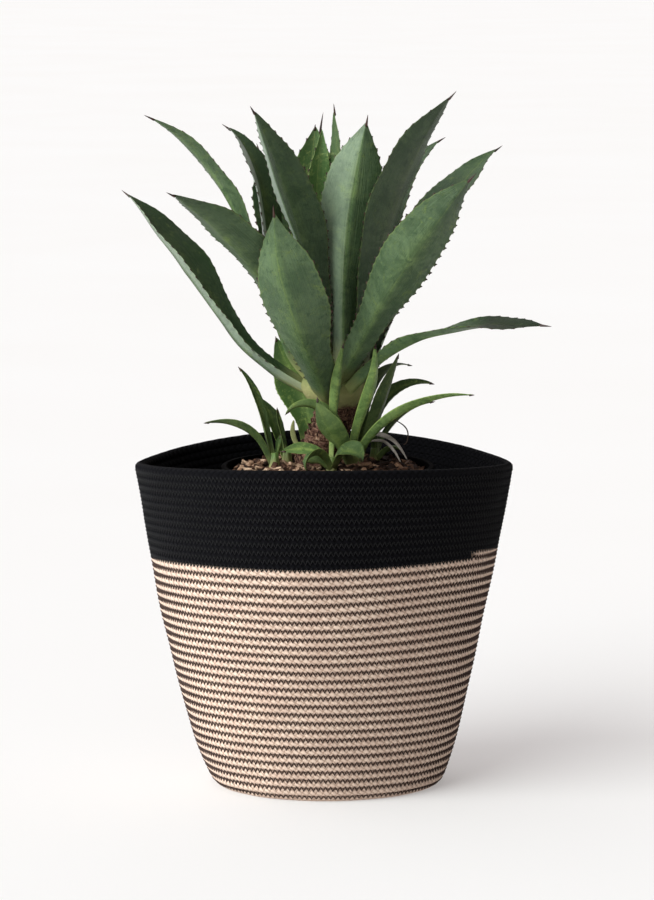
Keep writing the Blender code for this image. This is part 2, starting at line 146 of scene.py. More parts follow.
# %% The finish helper
class Finish:
    """One material, built node by node in front of its Principled shader."""

    def __init__(self, name, roughness=0.6, specular=0.4, **sockets):
        self.material = bpy.data.materials.new(name)
        self.material.use_nodes = True
        self.tree = self.material.node_tree
        self.shader = self.tree.nodes["Principled BSDF"]
        self.shader.inputs["Roughness"].default_value = roughness
        self.shader.inputs["Specular IOR Level"].default_value = specular
        for socket, value in sockets.items():
            self.shader.inputs[socket.replace("_", " ")].default_value = value

    def node(self, kind, inputs, **settings):
        made = self.tree.nodes.new("ShaderNode" + kind)
        for key, value in settings.items():
            setattr(made, key, value)
        for key, value in inputs.items():
            if isinstance(value, bpy.types.NodeSocket):
                self.tree.links.new(value, made.inputs[key])
            else:
                made.inputs[key].default_value = value
        return made

    def place(self, *stretch):
        """Object coordinates, stretched if three factors are given."""
        where = self.node("TexCoord", {}).outputs["Object"]
        if stretch:
            where = self.node("Mapping", {"Vector": where, "Scale": stretch}).outputs[0]
        return where

    def attribute(self, name):
        return self.node("Attribute", {}, attribute_name=name).outputs["Fac"]

    def noise(self, scale, detail=3.0, where=None, rough=0.55, twist=0.0):
        inputs = {"Vector": where or self.place(), "Scale": scale, "Detail": detail, "Roughness": rough,
                  "Distortion": twist}
        return self.node("TexNoise", inputs).outputs[0]

    def cells(self, scale):
        return self.node("TexVoronoi", {"Vector": self.place(), "Scale": scale}).outputs["Distance"]

    def ramp(self, value, *stops):
        """Grey levels or colours at places along a value."""
        made = self.node("ValToRGB", {"Fac": value})
        while len(made.color_ramp.elements) < len(stops):
            made.color_ramp.elements.new(0.5)
        for element, (position, colour) in zip(made.color_ramp.elements, stops):
            element.position = position
            if not isinstance(colour, tuple):
                colour = (colour, colour, colour)
            element.color = (*colour, 1.0)
        return made.outputs["Color"]

    def calc(self, operation, *values):
        return self.node("Math", dict(enumerate(values)), operation=operation).outputs[0]

    def times(self, one, other):
        return self.calc("MULTIPLY", one, other)

    def plus(self, one, other):
        return self.calc("ADD", one, other)

    def part_of(self, value, low, high, *to):
        """How far a value has come from low to high, as a share or between two other numbers."""
        return self.node("MapRange", {"Value": value, 1: low, 2: high, 3: to[0] if to else 0.0,
                                      4: to[1] if to else 1.0}).outputs[0]

    def split(self, where):
        return self.node("SeparateXYZ", {0: where}).outputs

    def mix(self, share, first, second, blend="MIX"):
        first, second = [(*c, 1.0) if isinstance(c, tuple) else c for c in (first, second)]
        return self.node("Mix", {0: share, 6: first, 7: second}, data_type="RGBA", blend_type=blend).outputs[2]

    def paint(self, colour=None, roughness=None):
        if colour is not None:
            self.tree.links.new(colour, self.shader.inputs["Base Color"])
        if roughness is not None:
            self.tree.links.new(roughness, self.shader.inputs["Roughness"])

    def bump(self, *layers):
        """Relief from (height, depth in metres) layers, one on top of the other."""
        normal = None
        for height, depth in layers:
            inputs = {"Height": height, "Distance": depth, "Strength": 1.0}
            if normal is not None:
                inputs["Normal"] = normal
            normal = self.node("Bump", inputs).outputs["Normal"]
        self.tree.links.new(normal, self.shader.inputs["Normal"])


paper = Finish("floor_paper", roughness=0.9, specular=0.1)
paper.paint(paper.ramp(paper.noise(1.3, 2.0), (0.3, (0.655, 0.65, 0.645)), (0.7, (0.665, 0.665, 0.665))))
paper.shader.inputs["Emission Color"].default_value = (1.0, 1.0, 1.0, 1.0)
paper.shader.inputs["Emission Strength"].default_value = 0.275
floor.data.materials.append(paper.material)
print("floor finish nodes:", len(paper.tree.nodes))

# %% [markdown]
# ## A grid rolled into shape
#
# Rope, thread, leaves and bark strips are all long strips or tubes with a changing section. By hand you
# would add a grid, roll it and merge its edges. The helper does the same: it adds a grid with as many
# faces as the shape needs, puts each row of points where it belongs, merges what meets, and turns the
# faces outwards. The grid's own UV map stays on it, one way round the section and one way along it.

# %% The rolled grid helper
def rolled_grid(name, points, finish, along=1.0, values=None):
    """points[row][column] is a place; the columns go round the section and the rows along the piece."""
    rows, columns = points.shape[:2]
    deselect()
    bpy.ops.mesh.primitive_grid_add(x_subdivisions=columns - 1, y_subdivisions=rows - 1, size=1.0)
    piece = bpy.context.object
    piece.name = piece.data.name = name
    piece.data.vertices.foreach_set("co", points.astype(np.float32).reshape(-1))
    layer = piece.data.uv_layers[0].data
    uv = np.zeros(len(layer) * 2, np.float32)
    layer.foreach_get("uv", uv)
    uv[1::2] *= along
    layer.foreach_set("uv", uv)
    for key, numbers in (values or {}).items():
        store = piece.data.attributes.new(key, "FLOAT", "POINT")
        store.data.foreach_set("value", numbers.astype(np.float32).reshape(-1))
    bpy.ops.object.mode_set(mode="EDIT")
    bpy.ops.mesh.select_all(action="SELECT")
    bpy.ops.mesh.remove_doubles(threshold=1e-6)
    bpy.ops.mesh.normals_make_consistent(inside=False)
    bpy.ops.object.mode_set(mode="OBJECT")
    bpy.ops.object.shade_smooth()
    piece.data.materials.append(finish.material)
    return piece


def unit(rows):
    """Every row of a table brought to length one."""
    return rows / np.linalg.norm(rows, axis=-1, keepdims=True)


def run_along(points):
    """How far along a line each of its points is."""
    return np.concatenate([[0.0], np.cumsum(np.linalg.norm(np.diff(points, axis=0), axis=1))])


def tube_points(centres, out, up, half_out, half_up, sides):
    """Rings of a closed section round a path; the half sizes may change along it."""
    turn = np.linspace(0.0, math.tau, sides + 1)
    turn[-1] = 0.0
    wide = np.asarray(half_out).reshape(-1, 1, 1) * np.cos(turn)[None, :, None] * out[:, None, :]
    tall = np.asarray(half_up).reshape(-1, 1, 1) * np.sin(turn)[None, :, None] * up[:, None, :]
    return centres[:, None, :] + wide + tall


def joined(name, parts):
    """Joins several pieces into the first one."""
    deselect()
    for part in parts:
        part.select_set(True)
    bpy.context.view_layer.objects.active = parts[0]
    bpy.ops.object.join()
    parts[0].name = parts[0].data.name = name
    return parts[0]


# %% [markdown]
# ## The basket's form
#
# The basket is one rope, coiled flat for the base and then up the wall, each turn sewn to the last. Seen
# from above it is an oval whose ends draw in to soft corners towards the rim. A point of the coil needs
# two things: how far the rope has climbed, measured along the wall's section, and the direction from
# the middle. The wall bellies a little on the left, where its foot is tucked in, and its rows ride up at
# the right, as a soft hand-made basket's do. Each turn stays level for most of its way and steps up to
# the next at the back, as the maker does it, so the rows look level from the front.

# %% The basket's form
ROPE = 0.008
BASKET_HEIGHT = 0.292
RIM_HALF_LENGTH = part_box("rope_basket_band")[1].x + 0.002
BASE_HALF_LENGTH = 0.105
FOOT_LENGTH = 0.092
FOOT_HEIGHT = 0.010          # the wall rounds in to the base over this height
DEPTH_SHARE = 0.83           # the oval's depth for its length
RIM_RISE = 0.012             # the long sides' middles stand this far above the ends
BELLY_AT, BELLY_OVER = 0.175, 0.06
LEFT_BELLY, LEFT_TUCK, TUCK_OVER = 0.0028, 0.0052, 0.032
RIGHT_RISE, FRONT_SAG = 0.0050, 0.0025
WALL_ROWS = 40
NATURAL_ROWS = 28
BASE_ROWS = 10
STEP_SHARE = 0.10            # the share of a turn in which the rope steps up
STEP_START = math.radians(75)


def wall_length(z):
    """Half length of the basket, outside, at a height."""
    t = np.clip(z / BASKET_HEIGHT, 0.0, 1.0)
    grow = BASE_HALF_LENGTH + (RIM_HALF_LENGTH - BASE_HALF_LENGTH) * t ** 0.8
    foot = np.minimum(1.0, z / FOOT_HEIGHT)
    return FOOT_LENGTH + (grow - FOOT_LENGTH) * np.sqrt(1.0 - (1.0 - foot) ** 2)


def plan(z, offset, a):
    """A point of the wall at a height, this far inside its outer face, in direction a."""
    share = np.clip(z / BASKET_HEIGHT, 0.0, 1.0)
    half = wall_length(z) - offset
    depth = np.maximum(wall_length(z) * (DEPTH_SHARE - 0.0065 * share) - offset, ROPE * 0.45)
    s, c = np.sin(a), np.cos(a)
    y = depth * s * np.abs(s) ** (0.45 * share ** 1.2)
    belly = np.exp(-((z - BELLY_AT) / BELLY_OVER) ** 2)
    half = half + (LEFT_BELLY * belly - LEFT_TUCK * np.exp(-(z / TUCK_OVER) ** 2)) * (c < 0)
    sway = belly * (RIGHT_RISE * np.clip(np.cos(a + 0.55), 0, 1) ** 3 - FRONT_SAG * np.clip(-s, 0, 1) ** 6)
    return np.stack([half * c, y, z + RIM_RISE * share ** 1.3 * s * s + sway], axis=-1)


heights = np.linspace(ROPE / 2, BASKET_HEIGHT - ROPE / 2, 400)
steps = np.hypot(np.diff(wall_length(heights)), np.diff(heights))
climbed = np.concatenate([[0.0], np.cumsum(steps)])
change_climb = np.interp(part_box("rope_basket_band")[0].z, heights, climbed)
PITCH = change_climb / (NATURAL_ROWS - 0.5)
print("natural rope pitch, mm:", round(PITCH * 1000, 2),
      "black:", round((climbed[-1] - change_climb) / (WALL_ROWS - NATURAL_ROWS - 0.5) * 1000, 2))


def climb_of(row):
    """Length along the wall's section at a row, counted from the first wall row; negative in the base."""
    known = [-BASE_ROWS, 0, NATURAL_ROWS - 0.5, WALL_ROWS - 1]
    return np.interp(row, known, [-BASE_ROWS * PITCH, 0.0, change_climb, climbed[-1]])


def coil_point(climb, a):
    """climb is the length along the wall's section from the first wall row, negative in the base."""
    z = np.interp(climb, climbed, heights)
    point = plan(z, ROPE / 2 + np.maximum(0.0, -climb), a)
    ripple = 0.00035 * np.sin(3.0 * a + 40.0 * z) + 0.00025 * np.sin(11.0 * a - 90.0 * z)
    point[..., 0] += ripple * np.cos(a)
    point[..., 1] += ripple * np.sin(a)
    return point


def coil_frame(turns, shift=0.0):
    """Places, outward and upward directions along the coil, at turns counted from the first wall row."""
    whole = np.floor(turns)
    part = turns - whole
    ease = np.clip((part - (1.0 - STEP_SHARE)) / STEP_SHARE, 0.0, 1.0)
    ease = ease * ease * (3.0 - 2.0 * ease)
    climb = climb_of(np.minimum(whole + ease, WALL_ROWS - 1.0) + shift)
    a = STEP_START - math.tau * part
    centre = coil_point(climb, a)
    up = unit(coil_point(climb + 0.0005, a) - coil_point(climb - 0.0005, a))
    along = unit(np.gradient(centre, axis=0))
    out = unit(np.cross(up, along))
    up = np.cross(along, out)
    if np.mean(out[:, 0] * centre[:, 0] + out[:, 1] * centre[:, 1]) < 0:
        out = -out
    return centre, out, up


# %% [markdown]
# ## Natural rope
#
# The lower two thirds are a pale braided cotton cord. Up close it is made of slanting strands that cross
# over and under, with loose fibres. The strands are too small and too many to model, so they are drawn
# on the cord's UV map: two sets of slanting stripes, one over the other, that give the relief and also
# painted shade, darker in the grooves between the strands and lighter on their crests.

# %% Natural rope finish
def braided_rope(name, dark, light, speck, rough, sheen, shine):
    """Cotton cord: crossing strands on the UV map with painted shade between them, fibres and stains on top."""
    cord = Finish(name, roughness=rough, specular=shine, Sheen_Weight=sheen, Sheen_Roughness=0.5)
    across, along, _ = cord.split(cord.node("UVMap", {}, uv_map="UVMap").outputs[0])
    around = cord.times(across, 4.0)
    ways = [cord.calc("SINE", cord.times(cord.calc(slant, along, around), math.pi))
            for slant in ("ADD", "SUBTRACT")]
    strands = [cord.calc("ABSOLUTE", way) for way in ways]
    over = cord.calc("GREATER_THAN", cord.times(*ways), 0.0)
    relief = cord.mix(over, strands[0], strands[1])
    fibres = cord.noise(900.0, 3.0, cord.place(1.0, 1.0, 0.35))
    tone = cord.noise(55.0, 3.0)
    # painted shade: the colour follows the relief, darker in the grooves between strands and lighter on their
    # crests
    colour = cord.mix(cord.ramp(relief, (0.05, 0.0), (0.75, 1.0)), dark, light)
    colour = cord.mix(cord.ramp(tone, (0.35, 0.0), (0.7, 0.55)), colour, speck)
    colour = cord.mix(0.35, colour, cord.ramp(fibres, (0.3, 0.25), (0.75, 1.0)), "MULTIPLY")
    cord.paint(colour)
    cord.bump((relief, 0.0007), (fibres, 0.0002))
    return cord


natural_rope = braided_rope("natural_rope", dark=(0.44, 0.29, 0.21), light=(0.84, 0.66, 0.535),
                            speck=(0.62, 0.43, 0.34), rough=0.85, sheen=0.08, shine=0.15)
natural_rope.shader.inputs["Sheen Tint"].default_value = (1.0, 0.9, 0.8, 1.0)
print("rope finish nodes:", len(natural_rope.tree.nodes))

# %% [markdown]
# ## The coil
#
# The rope changes colour part of the way round at the front right, so the last natural turn ends there
# and the black rope carries on at the same height. Both ropes are one grid each, rolled round the coil.

# %% Build the natural rope
CHANGE_DIRECTION = math.radians(-31)
change_turn = NATURAL_ROWS + (STEP_START - CHANGE_DIRECTION) / math.tau
end_turn = WALL_ROWS - 0.001
ROPE_HALF = 0.00405
BLUNT_END, FADING_END = 0.003, 0.085   # how long the rope narrows at a cut end, and where it ends in the rim


def rope(name, first, last, finish):
    turns = np.linspace(first, last, int((last - first) * 150))
    centre, out, up = coil_frame(turns)
    length = run_along(centre)
    left = length[-1] - length
    swell = 1.0 + 0.018 * np.sin(length * 420.0) + 0.012 * np.sin(length * 133.0)
    end = np.clip(np.minimum(length / BLUNT_END, left / BLUNT_END), 0.0, 1.0)
    if last > WALL_ROWS - 1:
        end = np.minimum(end, np.clip(left / FADING_END, 0.0, 1.0))
    size = ROPE_HALF * swell * np.sqrt(1.0 - (1.0 - end) ** 2)
    points = tube_points(centre, out, up, size * 0.98, size * 1.13, 10)
    return rolled_grid(name, points, finish, along=round(length[-1] / 0.0058)), length[-1]


body, natural_length = rope("natural_rope_coil", -BASE_ROWS, change_turn, natural_rope)
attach(body, "root")
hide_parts("rope_basket_body")
print("natural rope, metres:", round(natural_length, 2))

# %% [markdown]
# ## Black rope
#
# The top is the same cord dyed black. Dye hides the strands but not the lint: a few pale threads and
# scuffs lie on it in patches, so two noises are multiplied, a fine one for the lint and a coarse one for
# where it gathers.

# %% Black rope
black_rope = braided_rope("black_rope", dark=(0.0008, 0.0008, 0.001), light=(0.0045, 0.0045, 0.006),
                          speck=(0.003, 0.003, 0.004), rough=0.92, sheen=0.008, shine=0.05)
lint = black_rope.ramp(black_rope.noise(210.0, 6.0, rough=0.75), (0.68, 0.0), (0.74, 1.0))
patch = black_rope.ramp(black_rope.noise(23.0, 3.0), (0.52, 0.0), (0.68, 0.55))
fluff = black_rope.times(lint, patch)
under_lint = black_rope.shader.inputs["Base Color"].links[0].from_socket
black_rope.paint(black_rope.mix(fluff, under_lint, (0.23, 0.22, 0.22)))

band, black_length = rope("black_rope_coil", change_turn, end_turn, black_rope)
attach(band, "root")
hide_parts("rope_basket_band")
print("black rope, metres:", round(black_length, 2))

# %% [markdown]
# ## Zigzag stitching
#
# A zigzag machine stitch joins each turn to the one below it. The thread is dark brown on the natural
# rope and black on the black one. It is a thin tube that swings up and down across the groove, lying
# on the crests and dipping between them.

# %% Zigzag stitching
STITCH, SWING, THREAD = 0.0042, 0.0021, 0.00054     # length of a stitch, half its width, half the thread
CREST, GROOVE = 0.0039, 0.0032                      # how far out the thread lies on a row and between two


def stitching(name, first, last, finish):
    turns = np.linspace(first, last, int((last - first) * 400))
    length = run_along(coil_frame(turns, 0.5)[0])
    count = int(length[-1] / (STITCH / 4))
    turns = np.interp(np.linspace(0.0, length[-1], count), length, turns)
    centre, out, up = coil_frame(turns, 0.5)
    phase = np.arange(count) % 4
    swing = np.choose(phase, [0.0, 1.0, 0.0, -1.0])
    lift = np.where(phase % 2 == 1, CREST, GROOVE)
    thread = centre + up * (swing * SWING)[:, None] + out * lift[:, None]
    side = unit(np.cross(unit(np.gradient(thread, axis=0)), out))
    points = tube_points(thread, out, side, np.full(count, THREAD), np.full(count, THREAD * 1.15), 4)
    return rolled_grid(name, points, finish, along=count / 2.0)


def thread_finish(name, dark, light):
    thread = Finish(name, roughness=0.7, specular=0.25)
    across, along, _ = thread.split(thread.node("UVMap", {}, uv_map="UVMap").outputs[0])
    stripe = thread.calc("SINE", thread.times(thread.plus(across, along), 12.0))
    colour = thread.mix(thread.ramp(stripe, (0.2, 0.0), (0.9, 1.0)), dark, light)
    thread.paint(thread.mix(thread.ramp(thread.noise(160.0), (0.4, 0.0), (0.8, 0.5)), colour, light))
    thread.bump((stripe, 0.0001))
    return thread


brown_thread = thread_finish("brown_thread", (0.024, 0.012, 0.009), (0.080, 0.048, 0.038))
black_thread = thread_finish("black_thread", (0.0012, 0.0012, 0.0016), (0.0055, 0.0055, 0.0070))
for name, first, last, thread, slot in (
    ("brown_stitching", 0.0, change_turn - 1.0, brown_thread, "natural_rope"),
    ("black_stitching", change_turn - 1.0, WALL_ROWS - 1.15, black_thread, "black_rope"),
):
    stitches = stitching(name, first, last, thread)
    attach(stitches, "root")
    print(name, "faces:", len(stitches.data.polygons))

# %% [markdown]
# ## Reading a leaf back from the CAD model
#
# Each leaf's curve, twist and channel are already right in the CAD model, but its mesh is coarse. The
# CAD leaf was built from rings of points that close on its tip. Here the rings are found again: from the
# tip we walk inwards one layer of neighbours at a time, and each layer is one ring. The two short edges
# of a ring are the leaf's margins, so the upper face and the under face can be told apart.

# %% Read the rings
def leaf_net(node):
    """Rings of a CAD leaf from foot to tip: upper[k][j], under[k][j], and the points at both ends."""
    bm = bmesh.new()
    bm.from_mesh(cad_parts[node].data)
    bmesh.ops.remove_doubles(bm, verts=bm.verts, dist=1e-6)
    bm.verts.ensure_lookup_table()
    near = [{e.other_vert(v).index for e in v.link_edges} for v in bm.verts]
    place = np.array([v.co for v in bm.verts])
    bm.free()

    def is_pole(i):
        ring = near[i]
        return len(ring) in (10, 14) and all(len(near[j] & ring) == 2 for j in ring)

    tip = next(i for i in range(len(place)) if is_pole(i))
    seen, layer, upper, under = {tip}, near[tip], [], []
    before, side = {tip}, None
    while layer:
        walk = [min(layer)]
        while len(walk) < len(layer):
            here = walk[-1]
            walk.append(min(j for j in near[here] & layer if j not in walk and near[j] & near[here] & before))
        ring = place[walk]
        gaps = np.linalg.norm(np.roll(ring, -1, axis=0) - ring, axis=1)
        half = len(walk) // 2
        first = min(range(half), key=lambda j: gaps[j] + gaps[(j + half) % len(walk)])
        order = [(first + 1 + j) % len(walk) for j in range(len(walk))]
        one, other = ring[order[:half]], ring[order[half:]][::-1]
        middle = (one[0] + one[-1] + other[0] + other[-1]) / 4
        if np.linalg.norm(one[half // 2] - middle) > np.linalg.norm(other[half // 2] - middle):
            one, other = other, one
        across = one[-1] - one[0]
        if side is not None and np.dot(across, side) < 0:
            one, other, across = one[::-1], other[::-1], -across
        side = across
        upper.append(one)
        under.append(other)
        seen |= layer
        before, layer = layer, {j for i in layer for j in near[i]} - seen
    upper, under = np.array(upper[::-1]), np.array(under[::-1])
    return upper, under, (upper[0].mean(0) + under[0].mean(0)) / 2, place[tip]


print("rings of the front left leaf:", len(leaf_net("leaf_front_left")[0]))

# %% [markdown]
# ## Smooth curves through the rings
#
# A natural cubic spline runs through every ring, so the leaf can be cut into as many fine steps as its
# waves and teeth need.

# %% The spline
def spline(knots, values, wanted):
    """A natural cubic spline through values (along the first axis) at knots, read at wanted."""
    knots = np.asarray(knots, float)
    gap = np.diff(knots)
    n = len(knots)
    table = np.eye(n)
    shape = (n - 1,) + (1,) * (values.ndim - 1)
    slope = np.diff(values, axis=0) / gap.reshape(shape)
    right = np.zeros_like(values)
    for i in range(1, n - 1):
        table[i, i - 1:i + 2] = gap[i - 1], 2 * (gap[i - 1] + gap[i]), gap[i]
        right[i] = 6 * (slope[i] - slope[i - 1])
    bend = np.linalg.solve(table, right.reshape(n, -1)).reshape(values.shape)
    k = np.clip(np.searchsorted(knots, wanted) - 1, 0, n - 2)
    h = gap[k]
    shape = (len(wanted),) + (1,) * (values.ndim - 1)
    a = ((knots[k + 1] - wanted) / h).reshape(shape)
    b = ((wanted - knots[k]) / h).reshape(shape)
    return (a * values[k] + b * values[k + 1]
            + ((a ** 3 - a) * bend[k] + (b ** 3 - b) * bend[k + 1]) * (h ** 2 / 6).reshape(shape))


print("half way from 1 to 4, coming from 0:", spline([0, 1, 2], np.array([0.0, 1.0, 4.0]), np.array([1.5])))

# %% [markdown]
# ## Leaf finish
#
# An agave leaf is grey-green with a waxy bloom. The outer face is paler than the inner one. A
# yellow-green streak runs up the middle, mottles and old scratches lie across it, and the foot is nearly
# cream where it clasps the stem. Every leaf carries numbers for how far a point is along it and across
# it, which face it is on, and its tone with painted light and shade, and the finish reads those. That
# value lifts a lit half or band and darkens a leaf in shade. Above 1.5 it turns the colour to frost: the
# grey wax of an under face, with a painted highlight on it.

# %% Leaf finish
WAX_ROUGHNESS = 0.42
# frost: the grey wax of an under face, with a painted highlight on it
FROST_AND_HIGHLIGHT = (0.40, 0.47, 0.40)


def leaf_finish(name, deep, bloom, streak, foot):
    wax = Finish(name, roughness=WAX_ROUGHNESS, specular=0.32)
    along, across, face, tone_and_painted_light = [wax.attribute(key) for key in ("along", "across", "face", "tone_and_painted_light")]
    off_middle = wax.calc("ABSOLUTE", across)
    cloud = wax.noise(22.0, 4.0, rough=0.6)
    grain = wax.noise(420.0, 4.0, rough=0.7)
    fibre = wax.node("CombineXYZ", {"X": wax.times(across, 26.0), "Y": wax.times(along, 5.0),
                                    "Z": wax.times(tone_and_painted_light, 40.0)}).outputs[0]
    streaks = wax.noise(1.0, 5.0, fibre, rough=0.65)

    # bloom on green, thinner on the inner face
    powder = wax.plus(wax.times(face, -0.38), wax.plus(cloud, 0.06))
    colour = wax.mix(wax.ramp(powder, (0.12, 0.0), (0.72, 1.0)), deep, bloom)

    # the pale stripe up the middle and the fine line on the keel
    middle = wax.ramp(off_middle, (0.02, 1.0), (0.40, 0.0))
    lower = wax.ramp(along, (0.02, 1.0), (0.70, 0.75), (0.93, 0.0))
    patchy = wax.ramp(wax.plus(wax.times(cloud, 0.6), wax.times(streaks, 0.5)), (0.42, 0.0), (0.66, 1.0))
    stripe = wax.times(wax.times(middle, lower), patchy)
    keel_line = wax.times(wax.ramp(off_middle, (0.01, 0.55), (0.055, 0.0)),
                          wax.ramp(along, (0.1, 0.0), (0.3, 1.0)))
    colour = wax.mix(wax.calc("MAXIMUM", keel_line, wax.times(stripe, 0.85)), colour, streak)

    # mottles, spots, flecks and places where the bloom is rubbed off
    mottle = wax.ramp(wax.noise(75.0, 6.0, rough=0.8, twist=0.6), (0.56, 0.0), (0.65, 0.8))
    spots = wax.ramp(wax.noise(130.0, 3.0, rough=0.7), (0.33, 0.7), (0.40, 0.0))
    flecks = wax.noise(260.0, 5.0, rough=0.8)
    scuffs = wax.noise(46.0, 7.0, rough=0.8, twist=0.8)
    rubbed = wax.ramp(wax.plus(wax.times(scuffs, 0.75), wax.times(streaks, 0.25)), (0.47, 0.0), (0.56, 0.62))
    for share, other in ((mottle, streak), (spots, deep), (wax.ramp(flecks, (0.54, 0.0), (0.66, 0.45)), streak),
                         (wax.ramp(flecks, (0.34, 0.6), (0.44, 0.0)), deep), (rubbed, deep)):
        colour = wax.mix(share, colour, other)

    # cream at the foot, a pale line on the margin that is a painted highlight, then the leaf's tone with
    # painted light and shade, and frost with a painted highlight
    base = wax.ramp(wax.plus(along, wax.times(streaks, 0.06)), (0.03, 1.0), (0.13, 0.0))
    colour = wax.mix(base, colour, foot)
    # painted highlight: a pale line along the margin
    colour = wax.mix(wax.ramp(off_middle, (0.955, 0.0), (0.985, 0.55)), colour, streak)
    # the leaf's value scales its colour: its own tone, painted light on a lit strip, painted shade on a leaf or
    # strip in shade
    level = wax.plus(tone_and_painted_light, wax.times(wax.calc("SUBTRACT", streaks, 0.24), 0.62))
    tone = wax.part_of(level, 0.0, 1.3, 0.30, 1.50)
    tone = wax.node("CombineXYZ", {0: tone, 1: tone, 2: tone}).outputs[0]
    colour = wax.mix(1.0, colour, tone, "MULTIPLY")
    # above 1.5 the colour turns to frost, grey wax with a painted highlight
    colour = wax.mix(wax.part_of(wax.plus(tone_and_painted_light, wax.times(flecks, 0.4)), 1.5, 2.5), colour, FROST_AND_HIGHLIGHT)
    gloss = wax.plus(cloud, wax.times(grain, 0.3))
    wax.paint(colour, wax.ramp(gloss, (0.4, WAX_ROUGHNESS - 0.1), (0.8, WAX_ROUGHNESS + 0.14)))
    wax.bump((streaks, 0.0009), (grain, 0.00016), (mottle, 0.0002))
    return wax


leaf_wax = leaf_finish("leaf", deep=(0.030, 0.070, 0.024), bloom=(0.106, 0.174, 0.079),
                       streak=(0.150, 0.225, 0.058), foot=(0.33, 0.36, 0.13))
young_wax = leaf_finish("young_leaf", deep=(0.110, 0.215, 0.070), bloom=(0.260, 0.390, 0.190),
                        streak=(0.55, 0.66, 0.24), foot=(0.40, 0.48, 0.20))
offset_wax = leaf_finish("offset_leaf", deep=(0.048, 0.104, 0.024), bloom=(0.185, 0.285, 0.085),
                         streak=(0.30, 0.41, 0.10), foot=(0.36, 0.44, 0.16))
print("leaf finish nodes:", len(leaf_wax.tree.nodes))

# %% [markdown]
# ## Spines and teeth
#
# Each leaf ends in a hard brown needle, and small hooked teeth stand along its margins. The needle is a
# short cone. One tooth is shaped once, as a flat hook with a wide foot that runs out along the margin,
# and copied to every place.

# %% Spine finish and the tooth
horn = Finish("horn", roughness=0.4, specular=0.4)
horn_grain = horn.noise(500.0, 3.0, horn.place(1.0, 1.0, 0.25))
horn_share = horn.ramp(horn_grain, (0.35, 0.0), (0.7, 1.0))
horn.paint(horn.mix(horn_share, (0.012, 0.006, 0.005), (0.065, 0.024, 0.015)))
horn.bump((horn_grain, 0.0002))


def make_tooth():
    """One tooth, a metre long along its margin (X) and pointing out (Y), to be scaled when copied."""
    deselect()
    bpy.ops.mesh.primitive_grid_add(x_subdivisions=6, y_subdivisions=2, size=1.0)
    tooth = bpy.context.object
    reach = (0.0, 0.10, 0.34, 1.0, 0.62, 0.16, 0.0)
    lean = (0.0, 0.0, 0.03, 0.16, 0.10, 0.02, 0.0)
    for i, v in enumerate(tooth.data.vertices):
        column, row = i % 7, i // 7
        x = column / 6 - 0.5
        thick = 0.10 * (1.0 - abs(x) * 1.2)
        if row == 1:
            v.co = (x + lean[column], reach[column] - 0.06, 0.0)
        else:
            v.co = (x, -0.25, thick * (1 if row == 0 else -1))
    bpy.ops.object.shade_smooth()
    tooth.name = "tooth"
    tooth.data.materials.append(horn.material)
    return tooth


tooth = make_tooth()
print("tooth faces:", len(tooth.data.polygons))

# %% [markdown]
# ## Growing a leaf
#
# The rings give the leaf's curve. Splines along and across them cut it into fine rows and columns, and
# the two halves of the blade meet in a soft fold. The steps after this one add what makes it look grown,
# and at the end the upper and the under face become one grid rolled round the leaf.

# %% Cut a CAD leaf fine
ROW_STEP = 0.0022            # length of a row of faces along a leaf


def blade_faces(node, size, needle, columns, fold):
    """The upper and the under face of a CAD leaf, cut fine, with the lines they were read along."""
    upper, under, foot, tip = leaf_net(node)
    upper, under, tip = [foot + (part - foot) * size for part in (upper, under, tip)]
    count = upper.shape[1]
    lanes = np.array((-1.0, -0.72, -0.40, 0.0, 0.40, 0.72, 1.0) if count == 7 else (-1.0, -0.5, 0.0, 0.5, 1.0))
    ends = np.repeat(tip[None, None, :], count, axis=1)
    upper, under = np.concatenate([upper, ends]), np.concatenate([under, ends])
    spine = (upper[:, count // 2] + under[:, count // 2]) / 2
    run = run_along(spine)
    length = run[-1]
    knots = run / length
    s = np.linspace(0.0, 1.0 - needle / length, int(length / ROW_STEP))
    t = np.sin(np.linspace(-math.pi / 2, math.pi / 2, columns))
    faces = []
    for net in (upper, under):
        net = spline(lanes, spline(knots, net, s).transpose(1, 0, 2), t).transpose(1, 0, 2)
        middle = net[:, columns // 2:columns // 2 + 1]
        edge = np.where((t < 0)[None, :, None], net[:, :1], net[:, -1:])
        faces.append(net * (1 - fold) + (middle + (edge - middle) * np.abs(t)[None, :, None]) * fold)
    return faces, s, t, knots, spine, length, foot


def read_at(table, s, wanted):
    """A table of places along the leaf, read at a share of its length."""
    return np.stack([np.interp(wanted, s, table[:, c]) for c in range(3)], -1)


# %% [markdown]
# ## Turning and narrowing the blade
#
# A leaf may look the wrong way or be too wide for its place, so its blade can be turned about its own
# spine, and its width follows a few numbers along the leaf. Near the end the half width also stays under
# a straight line that falls to the needle. A soft minimum of the two leaves no kink where they meet.

# %% Turn and narrow the blade
def to_side(across, towards):
    """+1 or -1: which margin of a leaf lies towards a direction."""
    return 1.0 if np.dot(across[len(across) // 2], towards) > 0 else -1.0


def turn_blade(faces, centre, share, towards):
    """Turn a leaf about its own spine, so that its face looks more towards a direction."""
    spine = unit(np.gradient(centre[:, 0], axis=0))
    middle = faces[0].shape[1] // 2
    normal = faces[0][:, middle] - faces[1][:, middle]
    normal = unit(normal - spine * (normal * spine).sum(1, keepdims=True))
    goal = unit(np.array(towards, float) - spine * (spine @ np.array(towards, float))[:, None])
    if (goal * normal).sum() < 0:
        goal = -goal
    angle = np.arctan2((np.cross(normal, goal) * spine).sum(1), (normal * goal).sum(1)) * share
    c, n = np.cos(angle)[:, None, None], np.sin(angle)[:, None, None]
    for face in faces:
        arm = face - centre
        axis = spine[:, None, :] + 0 * arm
        along = axis * (axis * arm).sum(-1, keepdims=True)
        face[:] = centre + arm * c + np.cross(axis, arm) * n + along * (1 - c)


